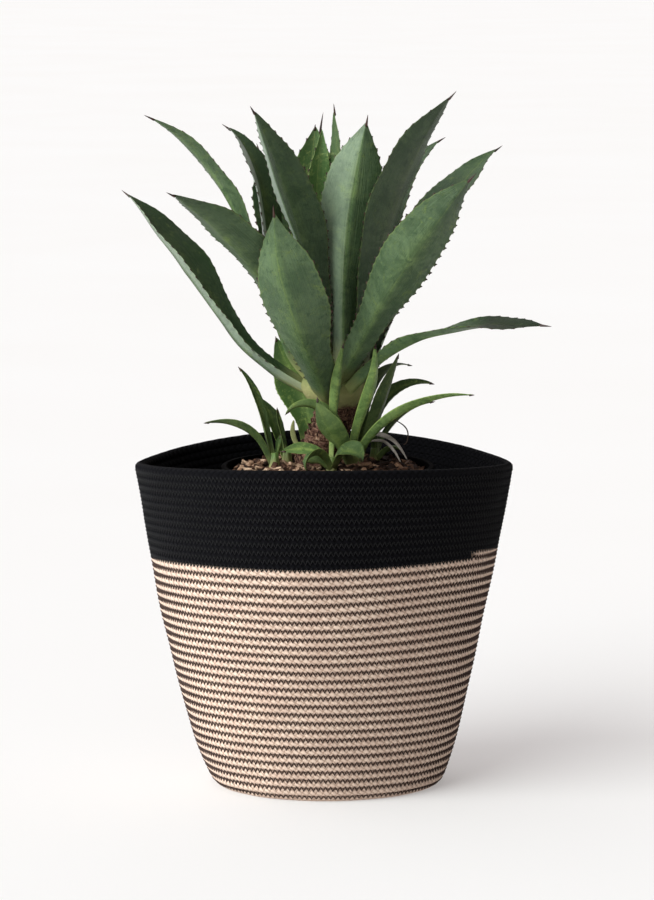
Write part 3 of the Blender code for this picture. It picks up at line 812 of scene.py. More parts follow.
def fit_width(faces, centre, s, widths, point):
    """Widen or narrow the blade; gives the way across it, the way out of its inner face and its half width."""
    top, back = faces
    wide = np.interp(s, *zip(*widths))[:, None, None]
    rim = (top[:, -1] + back[:, -1] - top[:, 0] - back[:, 0]) / 2
    across = unit(rim)
    for face in faces:
        arm = ((face - centre) * across[:, None, :]).sum(-1, keepdims=True)
        face += across[:, None, :] * arm * (wide - 1)
    half = np.linalg.norm(rim, axis=1) / 2 * wide[:, 0, 0]
    line = half.max() * point * (s[-1] - s) + 0.0010
    narrow = (half ** -8.0 + line ** -8.0) ** (-1.0 / 8.0) / half
    for face in faces:
        face[:] = centre + (face - centre) * narrow[:, None, None]
    middle = top.shape[1] // 2
    return across, unit(top[:, middle] - back[:, middle]), half * narrow


# %% [markdown]
# ## Teeth and needle
#
# The teeth stand at uneven steps along both margins, and each is a copy of the one tooth, scaled to its
# leaf. The needle carries on along the leaf's spine from just inside the blade's end.

# %% Teeth and needle
def copy_at(template, matrix):
    """A copy of a shape with its own mesh, moved by a matrix."""
    one = template.copy()
    one.data = template.data.copy()
    one.data.transform(matrix)
    bpy.context.scene.collection.objects.link(one)
    return one


def frame_matrix(origin, x, y, z):
    matrix = Matrix((x, y, z)).transposed().to_4x4()
    matrix.translation = origin
    return matrix


def margin_spots(draw, length, end, gap):
    """Places, in metres along the leaf, and sizes of the teeth on each margin."""
    spots = []
    for side in (-1, 1):
        at, row = 0.10 * length + draw.uniform(0.0, gap), []
        while at < (end - 0.04) * length:
            row.append((at, draw.uniform(0.75, 1.25)))
            at += gap * draw.uniform(0.78, 1.22)
        spots.append(row)
    return spots


def make_teeth(name, faces, s, spots, length, across, half, reach):
    places = []
    for column, side, row in ((0, -1, spots[0]), (-1, 1, spots[1])):
        edge = (faces[0][:, column] + faces[1][:, column]) / 2
        for at, grow in row:
            at = at / length
            place = read_at(edge, s, at)
            k = min(len(s) - 1, int(at / s[-1] * (len(s) - 1)))
            x = Vector(read_at(edge, s, at + 0.01) - place).normalized()
            y = Vector(across[k]) * side
            y = (y - x * y.dot(x)).normalized()
            grow *= min(1.0, half[k] / 0.008) * (0.75 if at > 0.75 else 1.0)
            wide = reach * 2.3 * (0.6 + 0.4 * grow)
            thick = x.cross(y) * wide * 0.8
            places.append(frame_matrix(Vector(place) - y * 0.0001, x * wide, y * reach * grow, thick))
    return joined(name, [copy_at(tooth, matrix) for matrix in places])


def make_needle(name, spine, knots, end, length, across, inner):
    path = spline(knots, spine, np.linspace(end - 0.0035 / length, 1.0, 9))
    size = 0.00125 * (1 - np.linspace(0, 1, 9) ** 1.3) + 0.00012
    size[0] = size[-1] = 0.00001
    wide, deep = np.repeat(across[-1:], 9, axis=0), np.repeat(inner[-1:], 9, axis=0)
    return rolled_grid(name, tube_points(path, wide, deep, size, size * 0.85, 8), horn)


# %% [markdown]
# ## Waves, swellings and rolling up
#
# No leaf is quite flat. Its surface heaves a little, its margin ripples and it swells out under every
# tooth. When that is done, both faces become one grid that goes round the leaf, closed at the foot and at
# the needle, and the numbers that the finish reads are stored on its points. A lit strip of the leaf gets
# painted light and a shaded strip gets painted shade, past a line across it, and its tip may get painted shade.

# %% Ruffle and roll up the blade
def ruffle(faces, s, t, across, inner, half, length, spots, seed, heave, gap, reach):
    """Heave the faces, ripple their margins and swell them under the teeth."""
    fade = np.clip(np.minimum(s / 0.15, (s[-1] - s) / 0.12), 0.0, 1.0)
    rise = np.array([[noise.noise((v * length * 28.0, u * 1.3, seed * 3.7)) for u in t] for v in s]) * heave
    ripple = np.sin(s * length / 0.034 * math.tau / 2 + seed) * heave * 0.9
    rise = (rise + ripple[:, None] * np.abs(t)[None, :] ** 5) * fade[:, None]
    swell = np.zeros((len(s), 2))
    for lane in (0, 1):
        for at, _ in spots[lane]:
            swell[:, lane] += np.exp(-((s * length - at) / (gap * 0.24)) ** 2)
    stand = 0.60 * reach * np.minimum(1.0, half / 0.006)
    push = np.where(t < 0, -1.0, 1.0)[None, :] * np.abs(t)[None, :] ** 6
    bulge = np.where(t < 0, swell[:, :1], swell[:, 1:]) - 0.35
    for face in faces:
        face += across[:, None, :] * (push * bulge * stand[:, None] * fade[:, None])[..., None]
        face += inner[:, None, :] * rise[..., None]


def roll_up(name, faces, s, t, knots, spine, foot, across, finish, tone_and_painted_light, strip, tip_shade):
    """One closed grid round both faces, with the numbers that its finish reads."""
    top, back = faces
    columns, end = len(t), s[-1]
    ring = np.concatenate([top, back[:, ::-1], top[:, :1]], axis=1)
    first = np.repeat(foot[None, None, :], ring.shape[1], axis=1)
    last = np.repeat(ring[-1:].mean(axis=1, keepdims=True), ring.shape[1], axis=1)
    last += (spline(knots, spine, np.array([end + 0.25 * (1 - end)])) - last[0, :1]) * 0.9
    points = np.concatenate([first, ring, last])
    lane_values = np.concatenate([t, t[::-1], t[:1]])
    face_values = np.concatenate([np.ones(columns), np.zeros(columns), np.ones(1)])
    s_values = np.concatenate([[0.0], s, [end]])
    # painted light and shade on every point: the leaf's value, raised past a lit strip's line or lowered past a
    # shaded one, and lowered towards the tip as painted shade
    grid = np.ones(points.shape[:2])
    shades = grid * tone_and_painted_light
    if strip:
        side, edge, change = strip
        over = np.clip((lane_values * to_side(across, side) - edge) / 0.12 + 0.5, 0, 1)
        shades = shades + change * over[None, :]
    shades = shades + tip_shade * np.clip((s_values - 0.60) / 0.12, 0, 1)[:, None]
    values = {"along": grid * s_values[:, None], "across": grid * lane_values[None, :],
              "face": grid * face_values[None, :], "tone_and_painted_light": shades}
    return rolled_grid(name, points, finish, values=values)


# %% [markdown]
# ## One whole leaf
#
# This puts the steps together. After the blade is turned and narrowed it may be bowed to one side, its
# foot is drawn in to the crown it grows from, and its middle is pressed in to a keel. Then it is ruffled
# and rolled up, and the teeth and the needle are joined to it.

# %% Grow one leaf
def grow_leaf(node, finish, slot, seed, root, hold, hold_over, tone_and_painted_light=0.5, needle=0.009, size=1.0, columns=15,
              fold=0.28, turn=0.0, towards=(0, -1, 0), widths=((0, 1), (1, 1)), point=4.9,
              bow=((0, 0, 0), 0.5, 1.0), keel=0.10, heave=0.0011, tooth_gap=0.0088, tooth_reach=0.0019,
              strip=None, tip_shade=0.0):
    """Grow a leaf over a CAD leaf.

    root, hold, hold_over: where the foot is drawn to, how much of the way, and over which share of the leaf
    turn, towards: how much of the way the blade is turned, and towards what
    widths, point: (share of the length, width) pairs, and how blunt the end is
    bow: a sideways shift, where along the leaf it is greatest, and how far it spreads
    strip: the side, the place across the blade, and the change of painted light and shade past it
    """
    faces, s, t, knots, spine, length, foot = blade_faces(node, size, needle, columns, fold)
    top, back = faces
    centre = (top[:, 0] + top[:, -1] + back[:, 0] + back[:, -1])[:, None] / 4
    if turn:
        turn_blade(faces, centre, turn, towards)
    across, inner, half = fit_width(faces, centre, s, widths, point)

    shift = np.array(bow[0])[None, :] * np.exp(-((s - bow[1]) / bow[2]) ** 2)[:, None]
    pull = (np.array(root) - foot) * hold
    shift = shift + pull[None, :] * (np.clip(1 - s / hold_over, 0, 1) ** 2)[:, None]
    foot = foot + pull + (np.array(root) - foot) * (1 - hold) * 0.8
    press = (1 - np.abs(t))[None, :] * (half * keel)[:, None]
    for face in faces:
        face += shift[:, None, :] - inner[:, None, :] * press[..., None]
    spine = spine + read_at(shift, s, knots)

    spots = margin_spots(random.Random(seed), length, s[-1], tooth_gap)
    ruffle(faces, s, t, across, inner, half, length, spots, seed, heave, tooth_gap, tooth_reach)
    leaf = joined(node + "_grown", [
        roll_up(node + "_blade", faces, s, t, knots, spine, foot, across, finish, tone_and_painted_light, strip, tip_shade),
        make_teeth(node + "_teeth", faces, s, spots, length, across, half, tooth_reach),
        make_needle(node + "_needle", spine, knots, s[-1], length, across, inner)])
    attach(leaf, "root")
    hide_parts(node)
    return leaf

# %% [markdown]
# ## The rosette
#
# Eighteen leaves, oldest and lowest first. Each gets its own seed for its waves and teeth, and its own
# tone with painted shade: leaves that stand deeper in the plant are painted darker, and the drooping one
# is greyer, with painted shade on its tip. A strip is the half, or the narrow band, of a leaf that the
# light falls on differently: it gets painted light on a lit half and painted shade on a shaded one.

# %% Grow the rosette
LEFT, RIGHT = (-1, 0, 0), (1, 0, 0)
ROSETTE = {
    "leaf_low_right_drooping": dict(tone_and_painted_light=0.95, keel=0.2, tip_shade=-1.05),
    "leaf_low_left": dict(tone_and_painted_light=0.36, keel=0.3, strip=((-0.7, 0, -0.7), 0.40, 1.40),
                          bow=((-0.008, 0, -0.003), 0.28, 0.2),
                          widths=((0, 0.5), (0.15, 0.5), (0.35, 0.6), (0.6, 1.0), (1, 1))),
    "leaf_front_left": dict(tone_and_painted_light=0.55, keel=0.26, strip=(RIGHT, 0.05, -0.25)),
    "leaf_mid_left": dict(tone_and_painted_light=0.50, keel=0.16, strip=((0, 0, 1), 0.2, -0.30)),
    "leaf_front_right": dict(tone_and_painted_light=0.45, keel=0.26, strip=(RIGHT, 0.05, -0.12)),
    "leaf_mid_right": dict(tone_and_painted_light=0.50),
    "leaf_upper_left": dict(tone_and_painted_light=0.85, strip=((0.6, 0, 0.8), 0.3, -0.35)),
    "leaf_upper_right": dict(tone_and_painted_light=0.12, keel=0.16),
    "leaf_inner_front": dict(tone_and_painted_light=0.48, keel=0.34, turn=0.9, towards=(-0.2, -1, 0), strip=(LEFT, -0.05, 1.15),
                             widths=((0, 0.9), (1, 0.9))),
    "leaf_inner_front_left": dict(tone_and_painted_light=0.02, keel=0.26, turn=0.42, towards=(-0.1, -1, 0),
                                  strip=(LEFT, 0.55, 2.0), bow=((-0.003, 0, 0), 0.75, 0.25), point=3.4,
                                  widths=((0, 0.8), (0.55, 0.8), (0.8, 0.66), (1, 0.6))),
    "leaf_inner_left": dict(tone_and_painted_light=0.45, strip=((-0.8, 0, -0.5), 0.25, 1.9)),
    "leaf_inner_back": dict(tone_and_painted_light=0.75, keel=0.2, needle=0.003, bow=((-0.004, 0, 0), 0.8, 0.2),
                            widths=((0, 1), (0.6, 1.2), (1, 1.4))),
    "leaf_inner_right": dict(tone_and_painted_light=0.25, widths=((0, 0.9), (1, 0.8))),
    "leaf_centre_spear": dict(tone_and_painted_light=1.3, needle=0.018, turn=0.5, widths=((0, 1.3), (1, 1.2))),
    "leaf_inner_back_right": dict(tone_and_painted_light=0.3, size=0.78),
}
YOUNG = ("leaf_centre_spear", "leaf_inner_back", "leaf_inner_right")


def stem_axis(z):
    """The middle of the stem at a height: upright in the pot, then leaning over to the right."""
    t = np.clip((z - 0.293) / 0.045, 0.0, 1.0)
    ease = t * t * (3.0 - 2.0 * t)
    top = 0.008 + (np.maximum(z, 0.338) - 0.360) * -0.075
    return -0.007 + (top + 0.007) * ease


for seed, node in enumerate(sorted(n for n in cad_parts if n.startswith("leaf_"))):
    foot = leaf_net(node)[2]
    heart = (float(stem_axis(foot[2])), 0.0, foot[2] - 0.004)
    look = {"needle": 0.0085, **ROSETTE.get(node, {})}
    grown = grow_leaf(node, young_wax if node in YOUNG else leaf_wax,
                      "young_leaf" if node == "leaf_centre_spear" else "leaf",
                      seed + 1, root=heart, hold=0.30, hold_over=0.10, **look)
    print(node, "faces:", len(grown.data.polygons))

# %% [markdown]
# ## The offsets' leaves
#
# The pups' leaves are fresher green and nearly smooth along their margins, with only the finest teeth.
# They are broad where they catch the light, and all the leaves of one pup come out of one point in the
# mulch, so each foot is drawn in to its own crown.

# %% Grow the offsets' leaves
CROWN_HEIGHT = 0.291


def evenly(width):
    """The same width all along the leaf."""
    return (0, width), (1, width)


PUPS = {
    "back_offset_broad_leaf": dict(widths=((0, 1.2), (0.3, 1.8), (1, 1.8)), turn=0.75, towards=(-0.3, -1, 0.1),
                                   tone_and_painted_light=1.15),
    "right_offset_front_leaf": dict(widths=((0, 1.0), (0.3, 1.5), (1, 1.4)), turn=0.4,
                                    bow=((0, -0.010, 0), 0.4, 0.5), tone_and_painted_light=0.30),
    "right_offset_bent_leaf": dict(turn=0.55, tone_and_painted_light=0.65),
    "right_offset_long_leaf": dict(turn=0.15, tone_and_painted_light=1.05),
    "right_offset_tall_leaf": dict(widths=evenly(1.1), tone_and_painted_light=1.25),
    "back_right_offset_upright_leaf": dict(turn=0.35, tone_and_painted_light=0.10),
    "back_right_offset_arched_leaf": dict(widths=evenly(1.1), turn=0.2, tone_and_painted_light=0.40),
    "far_right_offset_long_leaf": dict(turn=0.45, tone_and_painted_light=0.30),
    "far_right_offset_thin_leaf": dict(widths=evenly(1.3), turn=0.3, tone_and_painted_light=0.25),
    "front_offset_tall_leaf": dict(widths=((0, 0.7), (0.4, 0.9), (1, 1)), bow=((0, 0.011, 0), 0.1, 0.4),
                                   tone_and_painted_light=0.95),
    "front_offset_left_leaf": dict(turn=0.65, tone_and_painted_light=1.1),
    "front_offset_low_leaf": dict(turn=0.6, tone_and_painted_light=0.4, widths=evenly(1.2)),
    "front_offset_broad_leaf": dict(turn=0.3, tone_and_painted_light=0.3, widths=((0, 1.3), (1, 1.4))),
    "front_offset_drooping_leaf": dict(turn=0.2, tone_and_painted_light=0.6, widths=((0, 1.0), (1, 1.2))),
    "left_offset_arched_leaf": dict(turn=0.40, tone_and_painted_light=0.15),
    "left_offset_tall_leaf": dict(turn=0.35, tone_and_painted_light=0.30),
    "back_left_offset_leaf": dict(turn=0.2, tone_and_painted_light=0.15, strip=(LEFT, 0.0, 0.6), widths=((0, 1.2), (1, 1.25))),
}
CROWNS = {n: sum(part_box(n), Vector()) / 2 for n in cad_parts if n.startswith("offset_crown_")}

for seed, node in enumerate(sorted(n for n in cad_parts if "_offset_" in n and n.endswith("leaf"))):
    foot = leaf_net(node)[2]
    crown = min(CROWNS.values(), key=lambda c: math.hypot(c.x - foot[0], c.y - foot[1]))
    look = {"tone_and_painted_light": 0.3 + 0.06 * (seed % 6), **PUPS.get(node, {})}
    grow_leaf(node, offset_wax, "offset_leaf", seed + 40, root=(crown.x, crown.y, CROWN_HEIGHT), hold=0.75,
              hold_over=0.22, needle=0.0022, tooth_gap=0.0062, tooth_reach=0.0006, columns=9, heave=0.0003,
              fold=0.2, point=2.4, keel=0.15, **look)

bpy.data.objects.remove(tooth)

# %% [markdown]
# ## The old stem
#
# Under the rosette stands a short stem, as thick as a thumb, ringed with the scars of leaves that were
# cut or fell off. Above it the crown swells out, pale where the leaves clasp it. It is a tube round the
# stem's leaning axis, with a step at every scar, a spiral of them, and a finish that turns from bark to
# fresh tissue with height.

# %% Stem
STEM_LEVELS = ((0.247, 0.0170), (0.252, 0.0195), (0.341, 0.0195), (0.346, 0.0213), (0.350, 0.0246),
               (0.354, 0.0270), (0.358, 0.0285), (0.362, 0.0288), (0.366, 0.0276), (0.371, 0.0245),
               (0.376, 0.0220), (0.381, 0.0195), (0.386, 0.0167), (0.391, 0.0140), (0.396, 0.0113),
               (0.400, 0.0090), (0.404, 0.0062), (0.409, 0.0008))      # height and radius
SCAR_STEP = 0.0052
SCARS_END = 0.346            # bark below this height, fresh tissue above it

bark = Finish("stem", roughness=0.8, specular=0.2)
height = bark.split(bark.place())[2]
rag = bark.noise(130.0, 4.0, rough=0.7)
wavy = bark.plus(height, bark.times(bark.calc("SUBTRACT", rag, 0.5), 0.012))
grain = bark.noise(260.0, 5.0, bark.place(1.0, 1.0, 3.0), rough=0.75)
scarred_bark = bark.ramp(grain, (0.34, (0.022, 0.010, 0.007)), (0.50, (0.115, 0.052, 0.036)),
                         (0.62, (0.26, 0.155, 0.10)), (0.74, (0.50, 0.38, 0.27)))
flesh = bark.mix(bark.noise(70.0, 3.0), (0.25, 0.27, 0.09), (0.50, 0.47, 0.22))
brown_spots = bark.ramp(bark.noise(190.0, 4.0, rough=0.7), (0.60, 0.0), (0.70, 0.5))
flesh = bark.mix(brown_spots, flesh, (0.26, 0.15, 0.07))
bark_colour = bark.mix(bark.part_of(wavy, 0.3430, 0.3475), scarred_bark, flesh)
bark.paint(bark.mix(bark.part_of(wavy, 0.356, 0.374), bark_colour, (0.13, 0.19, 0.06)))
bark.bump((grain, 0.0011), (rag, 0.0008))

rows, columns = 110, 56
z = np.linspace(STEM_LEVELS[0][0], STEM_LEVELS[-1][0], rows)
radius = np.interp(z, *zip(*STEM_LEVELS))
a = np.linspace(0.0, math.tau, columns + 1)
a[-1] = 0.0
spiral = z[:, None] / SCAR_STEP + a[None, :] / math.tau * 2.0 + 0.35 * np.sin(3.0 * a)[None, :]
scar = (spiral - np.floor(spiral)) ** 2
scarred = np.clip((SCARS_END - z) / 0.006, 0.0, 1.0)[:, None]
lump = np.array([[noise.noise((math.cos(u) * 2.2, math.sin(u) * 2.2, v * 130.0)) for u in a] for v in z])
swollen = radius[:, None] + (0.0016 * scar - 0.0012 + 0.0013 * lump) * scarred
swollen += 0.0007 * (1 - scarred) * np.sin(5.0 * a)[None, :] * np.clip((0.395 - z) / 0.02, 0.0, 1.0)[:, None]
points = np.stack([stem_axis(z)[:, None] + swollen * np.cos(a), swollen * np.sin(a),
                   np.repeat(z[:, None], columns + 1, 1)], -1)
ends = [np.repeat(points[k:k + 1].mean(axis=1, keepdims=True), columns + 1, axis=1) for k in (0, -1)]
stem = rolled_grid("scarred_stem", np.concatenate([ends[0], points, ends[1]]), bark)
print("stem, widest, mm:", round(2000 * radius.max(), 1))

# %% [markdown]
# Dry leaf bases still hang on the stem as thin brown flakes. One flake is bent from a grid and copied
# round the stem in a rising spiral, no two at quite the same size or tilt.

# %% Dry flakes on the stem
def make_flake(finish):
    deselect()
    bpy.ops.mesh.primitive_grid_add(x_subdivisions=8, y_subdivisions=3, size=1.0)
    flake = bpy.context.object
    ragged = (0.55, 0.92, 0.80, 1.05, 0.88, 1.10, 0.84, 0.95, 0.50)
    for i, v in enumerate(flake.data.vertices):
        column, row = i % 9, i // 9
        angle = (column / 8 - 0.5) * 0.95
        tall = row / 3 * ragged[column]
        r = 0.0193 + 0.0010 * tall ** 2 * (1.0 - abs(angle) * 0.9)
        v.co = (r * math.cos(angle), r * math.sin(angle), 0.0036 * tall)
    bpy.ops.object.modifier_add(type="SOLIDIFY")
    flake.modifiers[-1].thickness = 0.0006
    bpy.ops.object.modifier_apply(modifier=flake.modifiers[-1].name)
    bpy.ops.object.shade_smooth()
    flake.data.materials.append(finish.material)
    return flake


husk = Finish("dry_husk", roughness=0.85, specular=0.15)
husk_grain = husk.noise(330.0, 5.0, husk.place(1.0, 1.0, 0.4), rough=0.75)
husk.paint(husk.ramp(husk_grain, (0.38, (0.010, 0.005, 0.004)), (0.50, (0.060, 0.025, 0.017)),
                     (0.59, (0.26, 0.15, 0.095)), (0.68, (0.66, 0.50, 0.35))))
husk.bump((husk_grain, 0.0008))

flake = make_flake(husk)
FLAKES = 60
FLAKES_FROM, FLAKES_OVER = 0.2885, 0.0535
draw = random.Random(5)
places = []
for i in range(FLAKES):
    z = FLAKES_FROM + FLAKES_OVER * i / (FLAKES - 1)
    turn = i * 2.4 + draw.uniform(-0.3, 0.3)
    tilt = Matrix.Rotation(draw.uniform(-0.16, 0.08), 4, "X")
    grow = Matrix.Diagonal((1.0 + draw.uniform(-0.02, 0.03),) * 2 + (draw.uniform(0.7, 1.35), 1.0))
    middle = Matrix.Translation((float(stem_axis(np.array([z]))[0]), 0.0, z))
    places.append(middle @ Matrix.Rotation(turn, 4, "Z") @ tilt @ grow)
flakes = joined("stem_flakes", [copy_at(flake, matrix) for matrix in places])
bpy.data.objects.remove(flake)
stem = joined("old_stem", [stem, flakes])
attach(stem, "root")
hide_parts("stem")
print("stem faces:", len(stem.data.polygons))

# %% [markdown]
# ## Crowns of the offsets
#
# The leaves of a pup wrap round one another at their foot, so its crown is seen only as a short ribbed
# sheath, cream at the mulch and light green above. It is a cylinder drawn in at the top, with five
# shallow grooves round it.

# %% Offset crowns
SHEATH_RADIUS, SHEATH_TALL = 0.0052, 0.024
SHEATH_FOOT = CROWN_HEIGHT - SHEATH_TALL / 2

crown_wax = Finish("offset_crown", roughness=0.5, specular=0.35)
cloud = crown_wax.noise(120.0, 3.0)
rise = crown_wax.plus(crown_wax.split(crown_wax.place())[2], crown_wax.times(cloud, 0.008))
ribs = crown_wax.noise(600.0, 3.0, crown_wax.place(1.0, 1.0, 0.1))
crown_colour = crown_wax.mix(crown_wax.part_of(rise, 0.294, 0.304), (0.36, 0.36, 0.15), (0.10, 0.19, 0.045))
crown_wax.paint(crown_wax.mix(crown_wax.ramp(ribs, (0.4, 0.0), (0.7, 0.4)), crown_colour, (0.34, 0.36, 0.14)))
crown_wax.bump((ribs, 0.0004), (cloud, 0.0003))

for node, middle in CROWNS.items():
    deselect()
    bpy.ops.mesh.primitive_cylinder_add(vertices=24, radius=SHEATH_RADIUS, depth=SHEATH_TALL,
                                        end_fill_type="TRIFAN", location=(middle.x, middle.y, CROWN_HEIGHT))
    sheath = bpy.context.object
    bpy.ops.object.mode_set(mode="EDIT")
    bpy.ops.mesh.select_all(action="SELECT")
    bpy.ops.mesh.subdivide(number_cuts=3)
    bpy.ops.object.mode_set(mode="OBJECT")
    sheath.data.transform(sheath.matrix_world)
    sheath.matrix_world = Matrix()
    for v in sheath.data.vertices:
        dx, dy, up = v.co.x - middle.x, v.co.y - middle.y, (v.co.z - SHEATH_FOOT) / SHEATH_TALL
        turn = math.atan2(dy, dx)
        draw_in = 1.0 - 0.62 * max(0.0, up - 0.35) ** 1.2 + 0.07 * math.sin(5 * turn + 2.0 * up)
        v.co = (middle.x + dx * draw_in, middle.y + dy * draw_in, v.co.z)
    bpy.ops.object.shade_smooth()
    sheath.data.materials.append(crown_wax.material)
    sheath.name = node.replace("offset_crown", "sheathed_crown")
    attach(sheath, "root")
    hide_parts(node)
print("sheaths:", len(CROWNS))

# %% [markdown]
# ## Pot, saucer and soil
#
# The grower's pot is thin black plastic. Its rim shows between the mulch and the basket, dusty and
# finely scratched. The saucer below it is seen only if the pot is lifted out, and the soil only under
# the chips, but both get a true finish.

# %% Pot, saucer and soil
def refinish(node, finish):
    """A new finish for a CAD node that stays as it is."""
    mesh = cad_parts[node].data
    mesh.materials.clear()
    mesh.materials.append(finish.material)
    print(node, "is now", finish.material.name)


def plastic(name, colour, dust, rough):
    tub = Finish(name, roughness=rough, specular=0.1, IOR=1.08)
    scratch = tub.noise(320.0, 4.0, tub.place(1.0, 1.0, 0.08))
    grime = tub.noise(26.0, 5.0, rough=0.65)
    share = tub.times(tub.ramp(grime, (0.45, 0.0), (0.75, 0.6)), tub.ramp(scratch, (0.35, 0.3), (0.7, 1.0)))
    tub.paint(tub.mix(share, colour, dust), tub.ramp(grime, (0.3, rough - 0.08), (0.75, rough + 0.25)))
    tub.bump((scratch, 0.00012), (grime, 0.0002))
    return tub


refinish("nursery_pot", plastic("pot_plastic", (0.0015, 0.0015, 0.0017), (0.008, 0.0065, 0.005), 0.6))
refinish("drip_saucer", plastic("saucer_plastic", (0.028, 0.027, 0.026), (0.10, 0.08, 0.06), 0.45))

soil = Finish("soil", roughness=0.95, specular=0.1)
crumb, lumps = soil.noise(170.0, 6.0, rough=0.75), soil.cells(240.0)
soil.paint(soil.ramp(soil.plus(soil.times(crumb, 0.8), soil.times(lumps, 0.2)), (0.30, (0.006, 0.004, 0.003)),
                     (0.48, (0.030, 0.019, 0.013)), (0.66, (0.10, 0.065, 0.045))))
soil.bump((crumb, 0.003), (lumps, 0.0012))
refinish("potting_soil", soil)
refinish("bark_mulch", soil)

# %% [markdown]
# ## Bark mulch
#
# Loose chips of bark cover the soil. Three chips are cut from a box: the box is flattened, its ends are
# pulled to uneven points and its edges bevelled. Then each is dropped many times, turned and tilted by
# chance, on the mulch's surface, keeping clear of the stem and the offsets. Each chip has its own random
# tone, and chips further to the right are darker as painted shade.

# %% Bark mulch
CHIPS = 620
MULCH_TOP = 0.2915
STEM_CLEARANCE, CROWN_CLEARANCE = 0.026, 0.011

chip_bark = Finish("bark", roughness=0.85, specular=0.15)
layers = chip_bark.noise(210.0, 5.0, chip_bark.place(1.0, 1.0, 1.6), rough=0.7)
# the chips' colour: bark grain, each chip's random tone, and painted shade on the chips to the right
chip_grain_and_shade = chip_bark.plus(chip_bark.times(layers, 0.7), chip_bark.times(chip_bark.attribute("tone"), 0.5))
chip_bark.paint(chip_bark.ramp(chip_grain_and_shade, (0.34, (0.018, 0.009, 0.006)), (0.52, (0.085, 0.042, 0.026)),
                               (0.68, (0.27, 0.16, 0.10)), (0.84, (0.60, 0.43, 0.30))))
chip_bark.bump((layers, 0.0009))


def make_chip(name, pulls):
    deselect()
    bpy.ops.mesh.primitive_cube_add(size=1.0)
    chip = bpy.context.object
    chip.name = name
    bpy.ops.object.mode_set(mode="EDIT")
    bpy.ops.mesh.subdivide(number_cuts=1)
    bpy.ops.object.mode_set(mode="OBJECT")
    for i, v in enumerate(chip.data.vertices):
        x, y, z = v.co
        bend = pulls[i % len(pulls)]
        v.co = (x * 0.0120, y * (0.0055 - 0.0040 * abs(x) * bend),
                z * (0.0028 - 0.0012 * abs(y)) + 0.0022 * bend * x * x)
    bpy.ops.object.modifier_add(type="BEVEL")
    chip.modifiers[-1].width = 0.0004
    chip.modifiers[-1].segments = 1
    bpy.ops.object.modifier_apply(modifier=chip.modifiers[-1].name)
    chip.data.materials.append(chip_bark.material)
    return chip


chips = [make_chip("chip_a", (0.3, 1.1, 0.6, 1.4)), make_chip("chip_b", (1.3, 0.2, 0.9)),
         make_chip("chip_c", (0.7, 1.5, 0.1, 1.0, 0.5))]
print("faces of a chip:", [len(chip.data.polygons) for chip in chips])
low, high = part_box("bark_mulch")
middle, spread = (low + high) / 2, (high.x - low.x) / 2
draw = random.Random(11)
laid = []
while len(laid) < CHIPS:
    r, turn = spread * 0.985 * math.sqrt(draw.random()), draw.uniform(0.0, math.tau)
    x, y = middle.x + r * math.cos(turn), r * math.sin(turn)
    near_crown = any(math.hypot(x - c.x, y - c.y) < CROWN_CLEARANCE for c in CROWNS.values())
    if near_crown or math.hypot(x + 0.007, y) < STEM_CLEARANCE:
        continue
    top = MULCH_TOP - 0.010 * (r / 0.09) ** 4
    grow = draw.uniform(0.55, 1.15) * (0.75 if r > spread * 0.9 else 1.0)
    matrix = Matrix.Translation((x, y, top + draw.uniform(0.0, 0.0022)))
    for angle, axis in ((draw.uniform(0, math.tau), "Z"), (draw.gauss(0.0, 0.30), "Y"),
                        (draw.gauss(0.0, 0.35), "X")):
        matrix = matrix @ Matrix.Rotation(angle, 4, axis)
    matrix = matrix @ Matrix.Diagonal((grow, grow * draw.uniform(0.7, 1.2), grow, 1.0))
    chip = copy_at(chips[len(laid) % 3], matrix)
    # a random tone, lowered towards the right as painted shade
    tone = draw.random() - 0.45 * min(1.0, max(0.0, (x - 0.005) / 0.05))
    store = chip.data.attributes.new("tone", "FLOAT", "POINT")
    store.data.foreach_set("value", [tone] * len(chip.data.vertices))
    laid.append(chip)
mulch = joined("bark_chips", laid)
for chip in chips:
    bpy.data.objects.remove(chip)
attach(mulch, "root")
print("chips:", CHIPS, "faces:", len(mulch.data.polygons))

# %% [markdown]
# ## Withered bits
#
# An old plant always carries some dead tissue: a withered strip hanging behind the stem, a dry leaf
# bleached almost white that lies over the mulch, a curled fibre and a papery sheath at the stem's foot.
# Each is a flat tube swept along a curved path that starts in the mulch or at the crown.

# %% Withered bits
def dry_finish(name, dark, light):
    skin = Finish(name, roughness=0.8, specular=0.2)
    lines = skin.node("CombineXYZ", {"X": skin.times(skin.attribute("across"), 9.0),
                                     "Y": skin.times(skin.attribute("along"), 4.0)}).outputs[0]
    thread = skin.noise(1.0, 4.0, lines, rough=0.7)
    skin.paint(skin.mix(skin.ramp(thread, (0.38, 0.0), (0.62, 1.0)), dark, light))
    skin.bump((thread, 0.0006))
    return skin


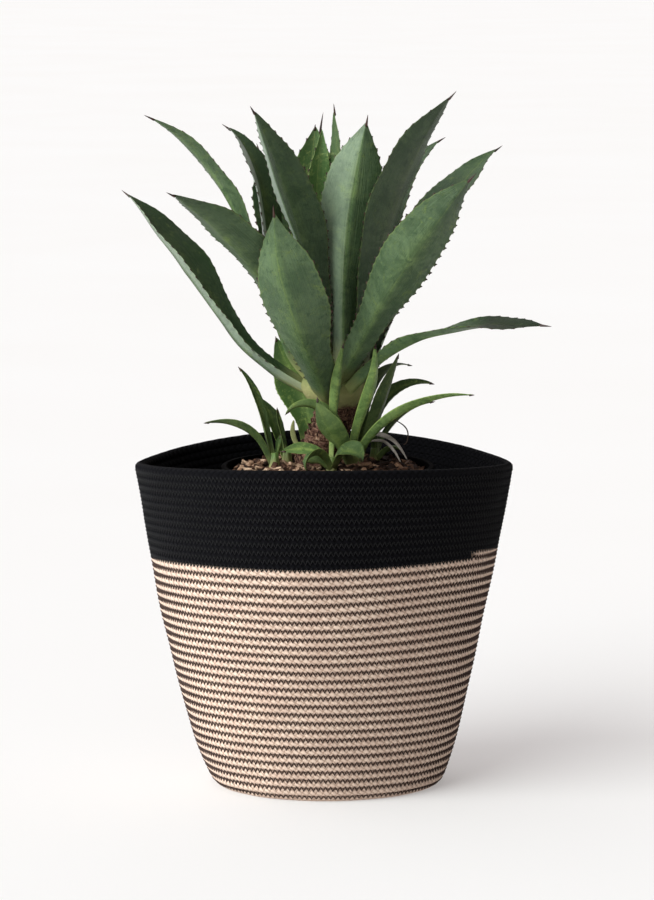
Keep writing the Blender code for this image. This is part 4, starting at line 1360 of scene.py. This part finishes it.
def dry_strip(name, finish, wide, thick, curl, *path):
    """A flat strip along a path of points, widest in its middle; curl is how far it turns on its way."""
    path = np.array(path, float)
    s = np.linspace(0, 1, 34)
    centres = spline(np.linspace(0, 1, len(path)), path, s)
    ahead = unit(np.gradient(centres, axis=0))
    out = unit(np.cross(ahead, (0.0, -1.0, 0.0)))
    up = np.cross(out, ahead)
    turn = curl * s[:, None]
    out, up = out * np.cos(turn) + up * np.sin(turn), up * np.cos(turn) - out * np.sin(turn)
    size = wide * (0.12 + 0.88 * np.sin(math.pi * np.clip(s * 0.96 + 0.02, 0, 1)) ** 0.7)
    size[0] = size[-1] = 0.00002
    sides = 12
    grid = np.ones((len(s), sides + 1))
    values = {"along": grid * s[:, None], "across": grid * np.cos(np.linspace(0, math.tau, sides + 1))[None, :]}
    points = tube_points(centres, out, up, size, np.minimum(size, thick), sides)
    strip = rolled_grid(name, points, finish, values=values)
    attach(strip, "root")


bleached = dry_finish("bleached_leaf", (0.16, 0.14, 0.12), (0.62, 0.57, 0.52))
withered = dry_finish("withered_leaf", (0.055, 0.060, 0.045), (0.20, 0.21, 0.17))
fibre_brown = dry_finish("dry_fibre", (0.020, 0.012, 0.009), (0.09, 0.06, 0.045))
papery = dry_finish("papery_sheath", (0.12, 0.15, 0.05), (0.40, 0.40, 0.18))
dry_strip("withered_strip", withered, 0.0034, 0.0005, 0.9,
          (0.034, 0.020, 0.402), (0.037, 0.024, 0.378), (0.033, 0.022, 0.352), (0.027, 0.018, 0.333))
dry_strip("bleached_strip_a", bleached, 0.0022, 0.0005, 1.2,
          (0.036, 0.004, 0.3165), (0.050, -0.006, 0.3185), (0.064, -0.014, 0.3120), (0.074, -0.020, 0.2975))
dry_strip("bleached_strip_b", bleached, 0.0016, 0.0005, -0.9,
          (0.038, -0.002, 0.3110), (0.052, -0.010, 0.3130), (0.062, -0.018, 0.3055), (0.068, -0.022, 0.2955))
dry_strip("dry_fibre", fibre_brown, 0.0006, 0.0006, 0.0, (0.058, -0.006, 0.3335), (0.068, -0.008, 0.3290),
          (0.0745, -0.010, 0.3215), (0.0735, -0.012, 0.3120), (0.0700, -0.013, 0.3105))
dry_strip("papery_sheath", papery, 0.0024, 0.0005, 0.5,
          (-0.0275, -0.010, 0.332), (-0.0285, -0.011, 0.322), (-0.0255, -0.013, 0.312), (-0.019, -0.016, 0.304))
print("withered bits made")

# %% [markdown]
# ## What the side light reaches
#
# The side light is linked to a collection that holds the basket and not the plant or the floor.

# %% Link the side light
reached = bpy.data.collections.new("reached_by_side_light")
for name in ("natural_rope_coil", "black_rope_coil", "brown_stitching", "black_stitching"):
    reached.objects.link(bpy.data.objects[name])
side_light.light_linking.receiver_collection = reached
